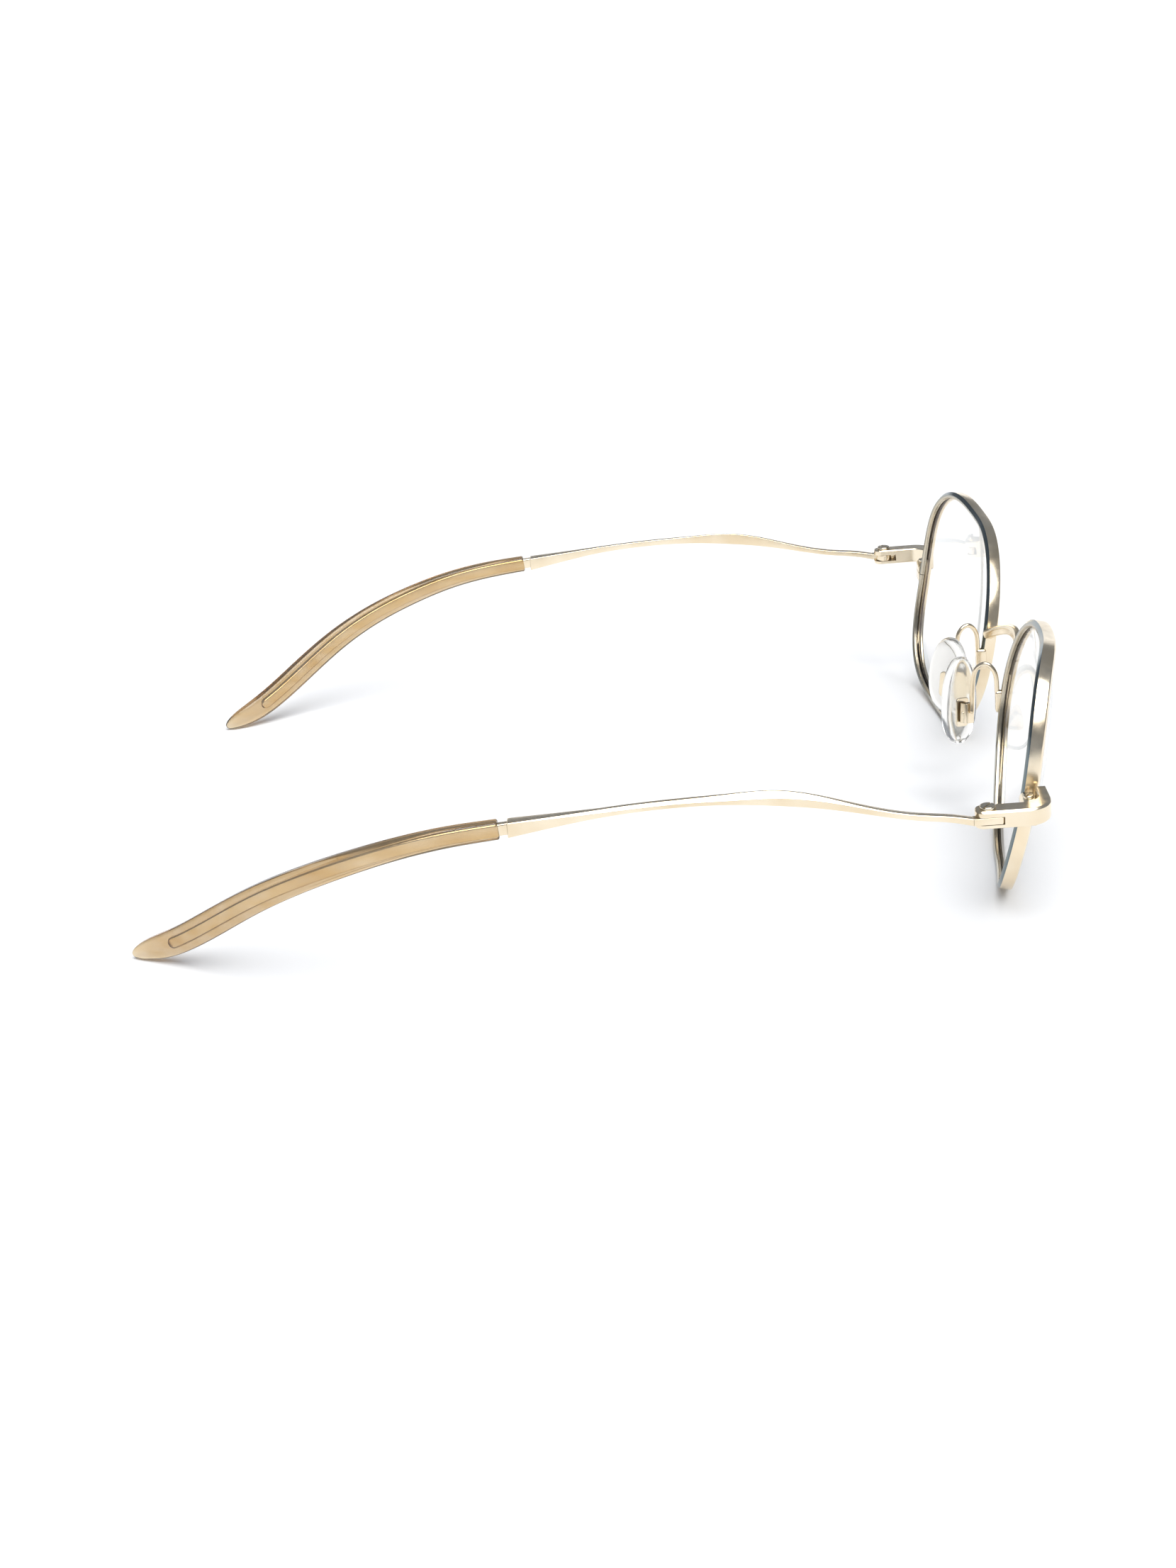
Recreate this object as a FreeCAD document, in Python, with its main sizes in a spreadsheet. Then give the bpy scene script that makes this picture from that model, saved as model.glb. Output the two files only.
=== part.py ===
"""Full-rim metal eyeglasses frame with clear temple tips, modelled in millimetres.

As the wearer sees it, +X is left, +Y runs back along the temples and +Z is up. The pieces are drawn
about the lens datum, the point midway between the two lens centres. The finished frame is then stood
on its base, with the origin at the centre of the ground that it covers.
The left side is drawn, and the right side mirrors it.
"""

import FreeCAD
import Part

import math
import os
import re

import Sketcher
from FreeCAD import Placement, Rotation, Vector

doc = FreeCAD.newDocument("eyeglasses_frame")
sheet = doc.addObject("Spreadsheet::Sheet", "Sizes")
SHEET_NAME = "Sizes."

# Driving dimensions, in millimetres and degrees.
SIZES = {
    # Lens outline: its radius is the mean plus waves of the angle from the temple side.
    "lens_mean_radius": 21.5,
    "lens_widening": 2.1,
    "lens_nasal_fullness": -0.7,
    "lens_brow_lift": 0.5,
    "lens_squareness": -0.55,
    "lens_lean": -0.2,
    "lens_cheek": -0.3,
    "lens_spacing": 72.2,
    "lens_thickness": 1.2,
    "lens_seat_depth": 0.5,
    "lens_clearance": 0.05,
    "face_curve_radius": 75.0,
    "wrap_angle": 6.5,
    "tilt_angle": 10.5,
    # Rims.
    "rim_wall": 1.2,
    "rim_depth": 2.4,
    "rim_split": 0.12,
    # Closing blocks, measured out and forwards from the temple edge of the lens opening.
    "block_reach": 4.49,
    "block_width": 3.7,
    "block_lead": 1.91,
    "block_depth": 2.2,
    "block_above": 1.8,
    "block_below": 2.3,
    "block_rounding": 0.9,
    "split_level": 1.0,
    "closing_screw_radius": 0.4,
    "closing_head_radius": 0.8,
    "closing_head_height": 0.4,
    # End pieces and hinges; the hinge is measured out from the block's side and back from its front.
    "hinge_reach": 4.4,
    "hinge_setback": 8.1,
    "knuckle_radius": 1.45,
    "knuckle_overhang": 1.9,
    "knuckle_rounding": 1.3,
    "knuckle_gap": 0.3,
    "endpiece_reach": 1.6,
    "endpiece_bend": 4.0,
    "endpiece_inner_bend": 1.3,
    "endpiece_height": 2.85,
    "endpiece_drop": 1.2,
    "endpiece_chamfer": 0.5,
    "tongue_level": 2.45,
    "tongue_height": 1.1,
    "tongue_length": 2.25,
    "tongue_clearance": 0.06,
    "hinge_screw_radius": 0.6,
    "hinge_head_radius": 1.2,
    "hinge_head_height": 0.5,
    "pin_clearance": 0.05,
    "drive_slot_width": 0.3,
    "drive_slot_depth": 0.22,
    "drive_slot_turn": 35.0,
    # Temples and their tips.
    "temple_length": 70.5,
    "temple_thickness": 1.25,
    "temple_end_thickness": 2.0,
    "neck_length": 1.3,
    "core_root": 0.4,
    "core_length": 54.0,
    "core_height": 1.3,
    "core_thickness": 0.8,
    "core_clearance": 0.1,
    "tip_length": 61.0,
    "tip_inward": 16.6,
    "tip_drop": 24.0,
    # Bridge, which starts a little ahead of the nasal edge of the lens opening.
    "bridge_height": 1.9,
    "bridge_thickness": 1.2,
    "bridge_level": 3.9,
    "bridge_rise": 3.5,
    "bridge_bow": 3.2,
    "bridge_bite": 0.15,
    "bridge_lead": 1.24,
    # Pad arms, measured from the nasal edge of the lens opening.
    "wire_radius": 0.4,
    "wire_sink": 0.1,
    "wire_landing": 2.4,
    "foot_thickness": 1.3,
    "foot_depth": 1.8,
    "foot_height": 3.8,
    "foot_level": -0.6,
    "foot_lead": 0.94,
    "foot_bite": 0.45,
    "arm_rise": 4.7,
    "arm_back": 4.8,
    "arm_inward": 2.4,
    "arm_drop": 4.6,
    # Nose pads.
    "pad_length": 15.0,
    "pad_width": 7.4,
    "pad_thickness": 2.6,
    "pad_front_rounding": 1.5,
    "pad_back_rounding": 0.8,
    "pad_splay": 35.0,
    "pad_lean": 12.0,
    "pad_flare": 14.0,
    "box_length": 3.4,
    "box_width": 2.0,
    "box_depth": 1.5,
    "box_wall": 0.4,
    "lug_radius": 0.45,
    "lug_clearance": 0.1,
    "stem_height": 0.9,
    "insert_length": 5.0,
    "insert_width": 2.8,
    "insert_thickness": 0.6,
    "insert_cover": 0.05,
    "pad_lift": 2.0,
    "pad_screw_radius": 0.3,
    "pad_screw_offset": 0.15,
    "pad_screw_stand": 0.15,
    "pad_rock_gap": 0.35,
}

for row, (alias, value) in enumerate(SIZES.items(), start=1):
    sheet.set(f"A{row}", alias)
    sheet.set(f"B{row}", str(value))
    sheet.setAlias(f"B{row}", alias)
doc.recompute()


def size(expression):
    """The value of an expression in the sheet's aliases."""
    value = sheet.evalExpression(expression)
    return float(getattr(value, "Value", value))


def bind(feature, name, expression):
    """Binds a property to an expression in the sheet's aliases."""
    def in_sheet(word):
        return SHEET_NAME + word.group() if word.group() in SIZES else word.group()

    feature.setExpression(name, re.sub(r"[a-z][a-z_]+", in_sheet, expression))


# ------------------------------------------------------------------ helpers


def new_body(name):
    return doc.addObject("PartDesign::Body", name)


def plane(body, role):
    """One of a body's own origin planes."""
    return [f for f in body.Origin.OriginFeatures if f.Role == role][0]


def new_sketch(body, name, role="XY_Plane", level=None):
    """A sketch on a plane of its body, raised along the plane's normal by an expression."""
    sketch = body.newObject("Sketcher::SketchObject", name)
    sketch.AttachmentSupport = [(plane(body, role), "")]
    sketch.MapMode = "FlatFace"
    if level:
        bind(sketch, "AttachmentOffset.Base.z", level)
    return sketch


def pin_point(sketch, geometry, end, across, up):
    """Holds a point of a sketch at two expressions, measured from the sketch's origin."""
    for kind, expression in (("DistanceX", across), ("DistanceY", up)):
        index = sketch.addConstraint(Sketcher.Constraint(kind, -1, 1, geometry, end, size(expression)))
        bind(sketch, f"Constraints[{index}]", expression)


def add_polygon(sketch, corners):
    """A closed outline of straight lines through corners given as pairs of expressions."""
    first = sketch.GeometryCount
    points = [Vector(size(a), size(b), 0) for a, b in corners]
    count = len(points)
    for i in range(count):
        sketch.addGeometry(Part.LineSegment(points[i], points[(i + 1) % count]))
    for i in range(count):
        after = first + (i + 1) % count
        sketch.addConstraint(Sketcher.Constraint("Coincident", first + i, 2, after, 1))
    for i, (across, up) in enumerate(corners):
        pin_point(sketch, first + i, 1, across, up)


def add_box(sketch, left, right, low, high):
    add_polygon(sketch, [(left, low), (right, low), (right, high), (left, high)])


def add_circle(sketch, across, up, radius):
    circle = sketch.addGeometry(Part.Circle(Vector(size(across), size(up), 0), Vector(0, 0, 1), size(radius)))
    pin_point(sketch, circle, 3, across, up)
    index = sketch.addConstraint(Sketcher.Constraint("Radius", circle, size(radius)))
    bind(sketch, f"Constraints[{index}]", radius)


def extrude(body, kind, sketch, name, length=None, reverse=False, both=False):
    """A pad or a pocket of a sketch; a pocket with no length goes through everything."""
    feature = body.newObject(kind, name)
    feature.Profile = sketch
    if length:
        bind(feature, "Length", length)
    else:
        feature.Type = "ThroughAll"
    feature.Reversed = reverse
    if both:
        feature.SideType = "Symmetric"
    doc.recompute()
    return feature


def edges_where(shape, test):
    """Names of the straight edges whose ends satisfy a test of both end points."""
    names = []
    for index, edge in enumerate(shape.Edges, start=1):
        ends = [v.Point for v in edge.Vertexes]
        if len(ends) == 2 and test(ends[0], ends[1]):
            names.append(f"Edge{index}")
    return names


def dress(body, kind, names, prop, expression, name):
    """A fillet or chamfer on named edges of the body's last feature."""
    base = body.Tip
    feature = body.newObject(kind, name)
    feature.Base = (base, names)
    bind(feature, prop, expression)
    doc.recompute()
    return feature


def upright(a, b, x, y):
    """Whether an edge is vertical and stands at x, y."""
    near = 0.01
    return abs(a.x - x) < near and abs(b.x - x) < near and abs(a.y - y) < near and abs(b.y - y) < near


def plain(name, shape, place=None):
    """A Part::Feature with a worked-out shape."""
    feature = doc.addObject("Part::Feature", name)
    feature.Shape = shape
    if place:
        feature.Placement = place
    return feature


def cut(name, base, *tools):
    """Part::Cut features that take the tools from the base one after another."""
    result = base
    for index, tool in enumerate(tools):
        feature = doc.addObject("Part::Cut", name if tool is tools[-1] else f"{name}_step{index}")
        feature.Base = result
        feature.Tool = tool
        result = feature
    doc.recompute()
    return result


def join(name, *pieces):
    feature = doc.addObject("Part::MultiFuse", name)
    feature.Shapes = list(pieces)
    doc.recompute()
    return feature


def overlap(name, first, second):
    feature = doc.addObject("Part::MultiCommon", name)
    feature.Shapes = [first, second]
    doc.recompute()
    return feature


def loft(name, wires):
    """A Part::Loft solid through closed wires."""
    sections = [plain(f"{name}_section{i}", wire) for i, wire in enumerate(wires)]
    feature = doc.addObject("Part::Loft", name)
    feature.Sections = sections
    feature.Solid = True
    doc.recompute()
    return feature


def smooth(points):
    """A smooth curve through points."""
    curve = Part.BSplineCurve()
    curve.interpolate(points)
    return curve


def frame_at(curve, point):
    """The direction of a curve nearest a point, with its level side direction and its up direction."""
    along = Vector(*curve.tangent(curve.parameter(point))[0]).normalize()
    side = along.cross(Vector(0, 0, 1)).normalize()
    return along, side, side.cross(along).normalize()


def polygon_wire(points):
    return Part.makePolygon(list(points) + [points[0]])


def box_section(centre, side, up, width, height):
    return polygon_wire([
        centre + side * (a * width / 2) + up * (b * height / 2)
        for a, b in ((-1, -1), (1, -1), (1, 1), (-1, 1))
    ])


def oval_section(centre, side, up, width, height):
    tall, wide = centre + up * (height / 2), centre + side * (width / 2)
    if height < width:
        tall, wide = wide, tall
    return Part.Wire([Part.Ellipse(tall, wide, centre).toShape()])


# ------------------------------------------------------------------ lens outline and rims


def lens_radius(angle):
    """Polar radius of the lens opening; the angle runs from the temple side up over the brow."""
    return (
        size("lens_mean_radius")
        + size("lens_widening") * math.cos(2 * angle)
        + size("lens_nasal_fullness") * math.cos(3 * angle)
        + size("lens_brow_lift") * math.sin(3 * angle)
        + size("lens_squareness") * math.cos(4 * angle)
        + size("lens_lean") * math.sin(4 * angle)
        + size("lens_cheek") * math.cos(5 * angle)
    )


OUTLINE_POINTS = 36
OUTLINE_START = -8.0
OUTLINE_RUN = 24.0
SMALL_ANGLE = 1e-4


def outline_point(angle):
    radius = lens_radius(angle)
    return Vector(radius * math.cos(angle), OUTLINE_START, radius * math.sin(angle))


def outline_prism(name, grow):
    """The lens outline, grown outwards by a size, drawn out along the line of sight."""
    step = 2 * math.pi / OUTLINE_POINTS
    amount = size(grow)
    points = []
    for i in range(OUTLINE_POINTS):
        angle = i * step
        run = (outline_point(angle + SMALL_ANGLE) - outline_point(angle - SMALL_ANGLE)).normalize()
        points.append(outline_point(angle) + Vector(run.z, 0, -run.x) * amount)
    curve = Part.BSplineCurve()
    curve.interpolate(points, PeriodicFlag=True)
    face = plain(f"{name}_face", Part.Face(Part.Wire([curve.toShape()])))
    prism = doc.addObject("Part::Extrusion", name)
    prism.Base = face
    prism.Dir = Vector(0, 1, 0)
    prism.LengthFwd = OUTLINE_RUN
    prism.Solid = True
    doc.recompute()
    return prism


def curved_shell(name, back, front):
    """The space between two spheres about the centre of the face curve, given how far each
    stands in front of the rim's back surface."""
    spheres = []
    for part_name, stand in (("outer", front), ("inner", back)):
        ball = doc.addObject("Part::Sphere", f"{name}_{part_name}")
        bind(ball, "Radius", f"face_curve_radius + {stand}")
        bind(ball, "Placement.Base.y", "face_curve_radius")
        spheres.append(ball)
    return cut(name, *spheres)


# Where the temple edge and the nasal edge of the left lens opening lie on the curved face.
TEMPLE_RADIUS = "(lens_mean_radius + lens_widening + lens_nasal_fullness + lens_squareness + lens_cheek)"
NASAL_RADIUS = "(lens_mean_radius + lens_widening - lens_nasal_fullness + lens_squareness - lens_cheek)"
SAG = "face_curve_radius - sqrt(face_curve_radius^2 - {0}^2)"
TEMPLE_EDGE_X = f"(lens_spacing / 2 + {TEMPLE_RADIUS} * cos(wrap_angle))"
TEMPLE_EDGE_Y = f"({TEMPLE_RADIUS} * sin(wrap_angle) + {SAG.format(TEMPLE_RADIUS)})"
NASAL_EDGE_X = f"(lens_spacing / 2 - {NASAL_RADIUS} * cos(wrap_angle))"
NASAL_EDGE_Y = f"(-{NASAL_RADIUS} * sin(wrap_angle) + {SAG.format(NASAL_RADIUS)})"
RIM_NASAL_X = f"({NASAL_EDGE_X} - rim_wall)"

BLOCK_OUT = f"({TEMPLE_EDGE_X} + block_reach)"
BLOCK_IN = f"({BLOCK_OUT} - block_width)"
BLOCK_MIDDLE = f"({BLOCK_OUT} - block_width / 2 + rim_wall / 4)"
BLOCK_FRONT = f"({TEMPLE_EDGE_Y} - block_lead)"
BLOCK_BACK = f"({BLOCK_FRONT} + block_depth)"
SCREW_BACK = f"({BLOCK_FRONT} + block_depth / 2)"

wrap = Rotation(Vector(0, 0, 1), size("wrap_angle"))
tilt = Rotation(Vector(1, 0, 0), size("tilt_angle"))
lens_place = Placement(Vector(size("lens_spacing / 2"), 0, 0), tilt.multiply(wrap))

rim_space = curved_shell("rim_space", "0", "rim_depth")
lens_back = "(rim_depth - lens_thickness) / 2"
lens_front = "(rim_depth + lens_thickness) / 2"
lens_space = curved_shell("lens_space", lens_back, lens_front)
seat_space = curved_shell("seat_space", f"{lens_back} - lens_clearance", f"{lens_front} + lens_clearance")

rim_filled = overlap("rim_filled", rim_space, outline_prism("rim_outside", "rim_wall"))
rim_opening = outline_prism("rim_inside", "0")
lens_seat = overlap("lens_seat", seat_space, outline_prism("seat_outside", "lens_seat_depth"))
lens_left = overlap("lens_left", lens_space, outline_prism("lens_outside", "lens_seat_depth - lens_clearance"))
for solid in (rim_filled, rim_opening, lens_seat, lens_left):
    solid.Placement = lens_place

split_gap = doc.addObject("Part::Box", "split_gap")
bind(split_gap, "Length", "block_width + 2 * rim_wall")
bind(split_gap, "Width", "2 * rim_depth + block_depth")
bind(split_gap, "Height", "rim_split")
bind(split_gap, "Placement.Base.x", f"{BLOCK_IN} - 2 * rim_wall")
bind(split_gap, "Placement.Base.y", f"{TEMPLE_EDGE_Y} - 2 * rim_depth")
bind(split_gap, "Placement.Base.z", "split_level - rim_split / 2")
rim_left = cut("rim_left", rim_filled, rim_opening, lens_seat, split_gap)

# ------------------------------------------------------------------ closing blocks and their screw


def closing_block(name, low, high):
    """Half of the block that closes the rim, bored for the screw and seated on the rim's outside."""
    body = new_body(f"{name}_body")
    outline = new_sketch(body, f"{name}_plan", level=low)
    add_box(outline, BLOCK_IN, BLOCK_OUT, BLOCK_FRONT, BLOCK_BACK)
    extrude(body, "PartDesign::Pad", outline, f"{name}_pad", f"{high} - ({low})")
    bore = new_sketch(body, f"{name}_bore", level=low)
    add_circle(bore, BLOCK_MIDDLE, SCREW_BACK, "closing_screw_radius + pin_clearance")
    extrude(body, "PartDesign::Pocket", bore, f"{name}_hole", reverse=True)
    return body


block_top = "split_level + block_above"
block_upper = closing_block("block_upper", "split_level + rim_split / 2", block_top)
back_edge = edges_where(
    block_upper.Shape,
    lambda a, b: min(a.z, b.z) > size(block_top) - 0.01 and min(a.y, b.y) > size(BLOCK_BACK) - 0.01,
)
dress(block_upper, "PartDesign::Fillet", back_edge, "Radius", "block_rounding", "block_upper_round")
closing_block_upper_left = cut("closing_block_upper_left", block_upper, rim_filled)
block_lower = closing_block("block_lower", "split_level - block_below", "split_level - rim_split / 2")
closing_block_lower_left = cut("closing_block_lower_left", block_lower, rim_filled)


# The head's straight edge as a share of its height, and its flat top as a share of its radius.
HEAD_EDGE = 0.55
HEAD_FLAT = 0.6


def slotted_screw(name, place_x, place_y, seat, shaft, head, head_height, length):
    """A slotted screw turned about its upright axis, with its head's underside at the seat level."""
    body = new_body(name)
    half = new_sketch(body, f"{name}_half", "XZ_Plane")
    add_polygon(half, [
        ("0", f"-({length})"),
        (shaft, f"-({length})"),
        (shaft, "0"),
        (head, "0"),
        (head, f"{head_height} * {HEAD_EDGE}"),
        (f"{head} * {HEAD_FLAT}", head_height),
        ("0", head_height),
    ])
    turn = body.newObject("PartDesign::Revolution", f"{name}_turn")
    turn.Profile = half
    turn.ReferenceAxis = (half, ["V_Axis"])
    turn.Angle = 360
    doc.recompute()
    slot = new_sketch(body, f"{name}_slot", level=head_height)
    add_box(slot, f"-{head}", head, "-drive_slot_width / 2", "drive_slot_width / 2")
    extrude(body, "PartDesign::Pocket", slot, f"{name}_drive", "drive_slot_depth")
    turned = Rotation(Vector(0, 0, 1), size("drive_slot_turn"))
    body.Placement = Placement(Vector(size(place_x), size(place_y), size(seat)), turned)
    return body


closing_screw_left = slotted_screw(
    "closing_screw_left", BLOCK_MIDDLE, SCREW_BACK, block_top, "closing_screw_radius",
    "closing_head_radius", "closing_head_height", "block_above + block_below",
)

# ------------------------------------------------------------------ end piece and hinge screw

HINGE_X = f"({BLOCK_OUT} + hinge_reach)"
HINGE_Y = f"({BLOCK_FRONT} + hinge_setback)"
OUTER_FACE = f"({HINGE_X} + knuckle_radius)"
INNER_FACE = f"({HINGE_X} - knuckle_radius)"
KNUCKLE_END = f"({HINGE_Y} + knuckle_overhang)"
ENDPIECE_FRONT = f"({BLOCK_FRONT} - endpiece_reach)"
ENDPIECE_ROOT = f"({BLOCK_IN} + rim_wall)"
ENDPIECE_TOP = "(endpiece_drop + endpiece_height)"

endpiece_left = new_body("endpiece_left")
plan = new_sketch(endpiece_left, "endpiece_plan", level="endpiece_drop")
add_polygon(plan, [
    (ENDPIECE_ROOT, ENDPIECE_FRONT),
    (OUTER_FACE, ENDPIECE_FRONT),
    (OUTER_FACE, KNUCKLE_END),
    (INNER_FACE, KNUCKLE_END),
    (INNER_FACE, BLOCK_FRONT),
    (ENDPIECE_ROOT, BLOCK_FRONT),
])
extrude(endpiece_left, "PartDesign::Pad", plan, "endpiece_bar", "endpiece_height")
for label, corners, radius in (
    ("bend", [(OUTER_FACE, ENDPIECE_FRONT)], "endpiece_bend"),
    ("inner_bend", [(INNER_FACE, BLOCK_FRONT)], "endpiece_inner_bend"),
    ("knuckle", [(OUTER_FACE, KNUCKLE_END), (INNER_FACE, KNUCKLE_END)], "knuckle_rounding"),
):
    spots = [(size(x), size(y)) for x, y in corners]
    named = edges_where(endpiece_left.Shape, lambda a, b: any(upright(a, b, x, y) for x, y in spots))
    dress(endpiece_left, "PartDesign::Fillet", named, "Radius", radius, f"endpiece_{label}")
long_edge = edges_where(
    endpiece_left.Shape,
    lambda a, b: min(a.z, b.z) > size(ENDPIECE_TOP) - 0.01 and min(a.x, b.x) > size(OUTER_FACE) - 0.01,
)
dress(endpiece_left, "PartDesign::Chamfer", long_edge, "Size", "endpiece_chamfer", "endpiece_edge")
SLOT_HALF = "(tongue_height / 2 + tongue_clearance)"
SLOT_FRONT = f"({HINGE_Y} - tongue_length - tongue_clearance)"
slot = new_sketch(endpiece_left, "hinge_slot", level=f"tongue_level - {SLOT_HALF}")
add_box(slot, INNER_FACE, OUTER_FACE, SLOT_FRONT, KNUCKLE_END)
extrude(endpiece_left, "PartDesign::Pocket", slot, "hinge_slot_cut", f"2 * {SLOT_HALF}", reverse=True)
bore = new_sketch(endpiece_left, "hinge_bore", level="endpiece_drop")
add_circle(bore, HINGE_X, HINGE_Y, "hinge_screw_radius + pin_clearance")
extrude(endpiece_left, "PartDesign::Pocket", bore, "hinge_bore_cut", reverse=True)

hinge_screw_left = slotted_screw(
    "hinge_screw_left", HINGE_X, HINGE_Y, ENDPIECE_TOP, "hinge_screw_radius",
    "hinge_head_radius", "hinge_head_height", "endpiece_height",
)

# ------------------------------------------------------------------ temple

TONGUE_LOW = "(tongue_level - tongue_height / 2)"
BAR_START = "(knuckle_overhang + knuckle_gap)"

tongue = new_body("temple_tongue")
flat = new_sketch(tongue, "tongue_plan", level=TONGUE_LOW)
add_box(flat, HINGE_X, OUTER_FACE, f"{HINGE_Y} - tongue_length", f"{HINGE_Y} + {BAR_START}")
extrude(tongue, "PartDesign::Pad", flat, "tongue_plate", "tongue_height")
eye = new_sketch(tongue, "eye_plan", level=TONGUE_LOW)
add_circle(eye, HINGE_X, HINGE_Y, "knuckle_radius")
extrude(tongue, "PartDesign::Pad", eye, "eye_plate", "tongue_height")
eye_bore = new_sketch(tongue, "eye_bore", level=TONGUE_LOW)
add_circle(eye_bore, HINGE_X, HINGE_Y, "hinge_screw_radius + pin_clearance")
extrude(tongue, "PartDesign::Pocket", eye_bore, "eye_bore_cut", reverse=True)

# Side view of the metal temple: share of its length, rise of its middle above the tongue, height,
# and the facet on its outer top edge.
TEMPLE_PROFILE = [
    (0.00, 0.0, 1.1, 0.06),
    (0.05, 0.75, 0.95, 0.06),
    (0.11, 1.3, 0.9, 0.08),
    (0.23, 3.1, 1.1, 0.2),
    (0.33, 4.9, 1.8, 0.6),
    (0.42, 5.95, 2.1, 0.9),
    (0.52, 6.3, 1.45, 0.75),
    (0.62, 6.3, 1.1, 0.5),
    (0.74, 5.95, 1.1, 0.45),
    (0.83, 5.4, 1.3, 0.35),
    (0.92, 4.7, 1.8, 0.2),
    (1.00, 4.05, 2.35, 0.06),
]


# The metal thickens over this last share of its length.
SWELL_SHARE = 0.2


def bar_section(share, rise, height, facet):
    """An upright section of the temple: a rectangle with its outer top corner cut off."""
    start = size(BAR_START)
    back = size(HINGE_Y) + start + share * (size("temple_length") - start)
    swell = size("temple_end_thickness - temple_thickness") * max(0.0, 1 - (1 - share) / SWELL_SHARE)
    outer = size(OUTER_FACE)
    inner = outer - size("temple_thickness") - swell
    middle = size("tongue_level") + rise
    low, high = middle - height / 2, middle + height / 2
    corners = [(inner, low), (outer, low), (outer, high - facet), (outer - facet, high), (inner, high)]
    return polygon_wire([Vector(x, back, z) for x, z in corners])


temple_bar = loft("temple_bar", [bar_section(*row) for row in TEMPLE_PROFILE])

# Route of the tip behind the metal: share of its length, share of its inward curve and of its drop,
# and the height and width of the sleeve there.
TIP_ROUTE = [
    (0.00, 0.00, 0.00, 2.9, 2.3),
    (0.12, 0.01, 0.03, 3.1, 2.3),
    (0.25, 0.03, 0.09, 3.3, 2.3),
    (0.38, 0.09, 0.185, 3.6, 2.3),
    (0.51, 0.19, 0.31, 3.9, 2.3),
    (0.64, 0.36, 0.48, 4.25, 2.35),
    (0.77, 0.60, 0.70, 4.5, 2.4),
    (0.90, 0.86, 0.90, 4.2, 2.4),
    (0.965, 0.96, 0.965, 3.2, 2.0),
    (1.00, 1.00, 1.00, 1.6, 1.1),
]


def tip_point(along, inward, drop):
    """A point of the tip's centre line from its shares."""
    return Vector(
        size(f"{OUTER_FACE} - temple_end_thickness / 2") - inward * size("tip_inward"),
        size(f"{HINGE_Y} + temple_length + neck_length") + along * size("tip_length"),
        size("tongue_level") + TEMPLE_PROFILE[-1][1] - drop * size("tip_drop"),
    )


tip_points = [tip_point(*row[:3]) for row in TIP_ROUTE]
core_lead = size("neck_length + core_root")
tip_curve = smooth([tip_points[0] - Vector(0, core_lead, 0)] + tip_points)


def core_wires(grow, lead, reach):
    """Sections of the flat core along the tip's centre line, grown by a clearance. The core starts
    ahead of the sleeve by its lead and ends inside it at its reach."""
    points = [tip_points[0] - Vector(0, lead, 0)]
    share = reach / size("tip_length")
    for before, after in zip(TIP_ROUTE, TIP_ROUTE[1:]):
        if share > before[0]:
            points.append(tip_point(*before[:3]))
        if before[0] < share <= after[0]:
            mix = (share - before[0]) / (after[0] - before[0])
            points.append(tip_point(*[a + mix * (b - a) for a, b in zip(before[:3], after[:3])]))
    wires = []
    for point in points:
        along, side, up = frame_at(tip_curve, point)
        width = size("core_thickness") + 2 * grow
        height = size("core_height") + 2 * grow
        wires.append(box_section(point, side, up, width, height))
    return wires


core_reach = size("core_length")
temple_core = loft("temple_core", core_wires(0.0, core_lead, core_reach))
temple_left = join("temple_left", tongue, temple_bar, temple_core)

sleeve_wires = []
for point, (share, inward, drop, height, width) in zip(tip_points, TIP_ROUTE):
    along, side, up = frame_at(tip_curve, point)
    if share == 0:
        along, side, up = Vector(0, 1, 0), Vector(1, 0, 0), Vector(0, 0, 1)
    sleeve_wires.append(oval_section(point, side, up, width, height))
sleeve = loft("sleeve", sleeve_wires)
clearance = size("core_clearance")
core_bore = loft("core_bore", core_wires(clearance, size("neck_length"), core_reach + clearance))
temple_tip_left = cut("temple_tip_left", sleeve, core_bore)

# ------------------------------------------------------------------ bridge

# Half of the arch from its end to its middle: share of the way out, and share of its rise and bow.
BRIDGE_ROUTE = [(1.0, 0.0), (0.68, 0.5), (0.33, 0.88), (0.0, 1.0)]
bridge_rows = BRIDGE_ROUTE + [(-out, arch) for out, arch in reversed(BRIDGE_ROUTE[:-1])]
bridge_wires = []
for out, arch in bridge_rows:
    middle = Vector(
        out * size(f"{RIM_NASAL_X} + bridge_bite"),
        size(f"{NASAL_EDGE_Y} - bridge_lead") - arch * size("bridge_bow"),
        size("bridge_level") + arch * size("bridge_rise"),
    )
    thick, high = size("bridge_thickness"), size("bridge_height")
    bridge_wires.append(box_section(middle, Vector(0, 1, 0), Vector(0, 0, 1), thick, high))
bridge_bar = loft("bridge_bar", bridge_wires)
rim_filled_right = doc.addObject("Part::Mirroring", "rim_filled_right")
rim_filled_right.Source = rim_filled
rim_filled_right.Normal = Vector(1, 0, 0)
bridge = cut("bridge", bridge_bar, rim_filled, rim_filled_right)

# ------------------------------------------------------------------ pad holder and its plate
# Each is drawn about the centre of the holder: -X points to the nose, Y is the pad's width and Z its
# length. The pad rocks about the holder's screw, which lies along Y.

FOOT_IN = f"({RIM_NASAL_X} + foot_bite - foot_thickness)"
FOOT_FRONT = f"({NASAL_EDGE_Y} - foot_lead)"
foot_x = size(f"{FOOT_IN} + foot_thickness / 2")
foot_y = size(f"{FOOT_FRONT} + foot_depth - wire_radius")
foot_top = size("foot_level + foot_height / 2")
box_centre = Vector(foot_x - size("arm_inward"), foot_y + size("arm_back"), foot_top - size("arm_drop"))

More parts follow.
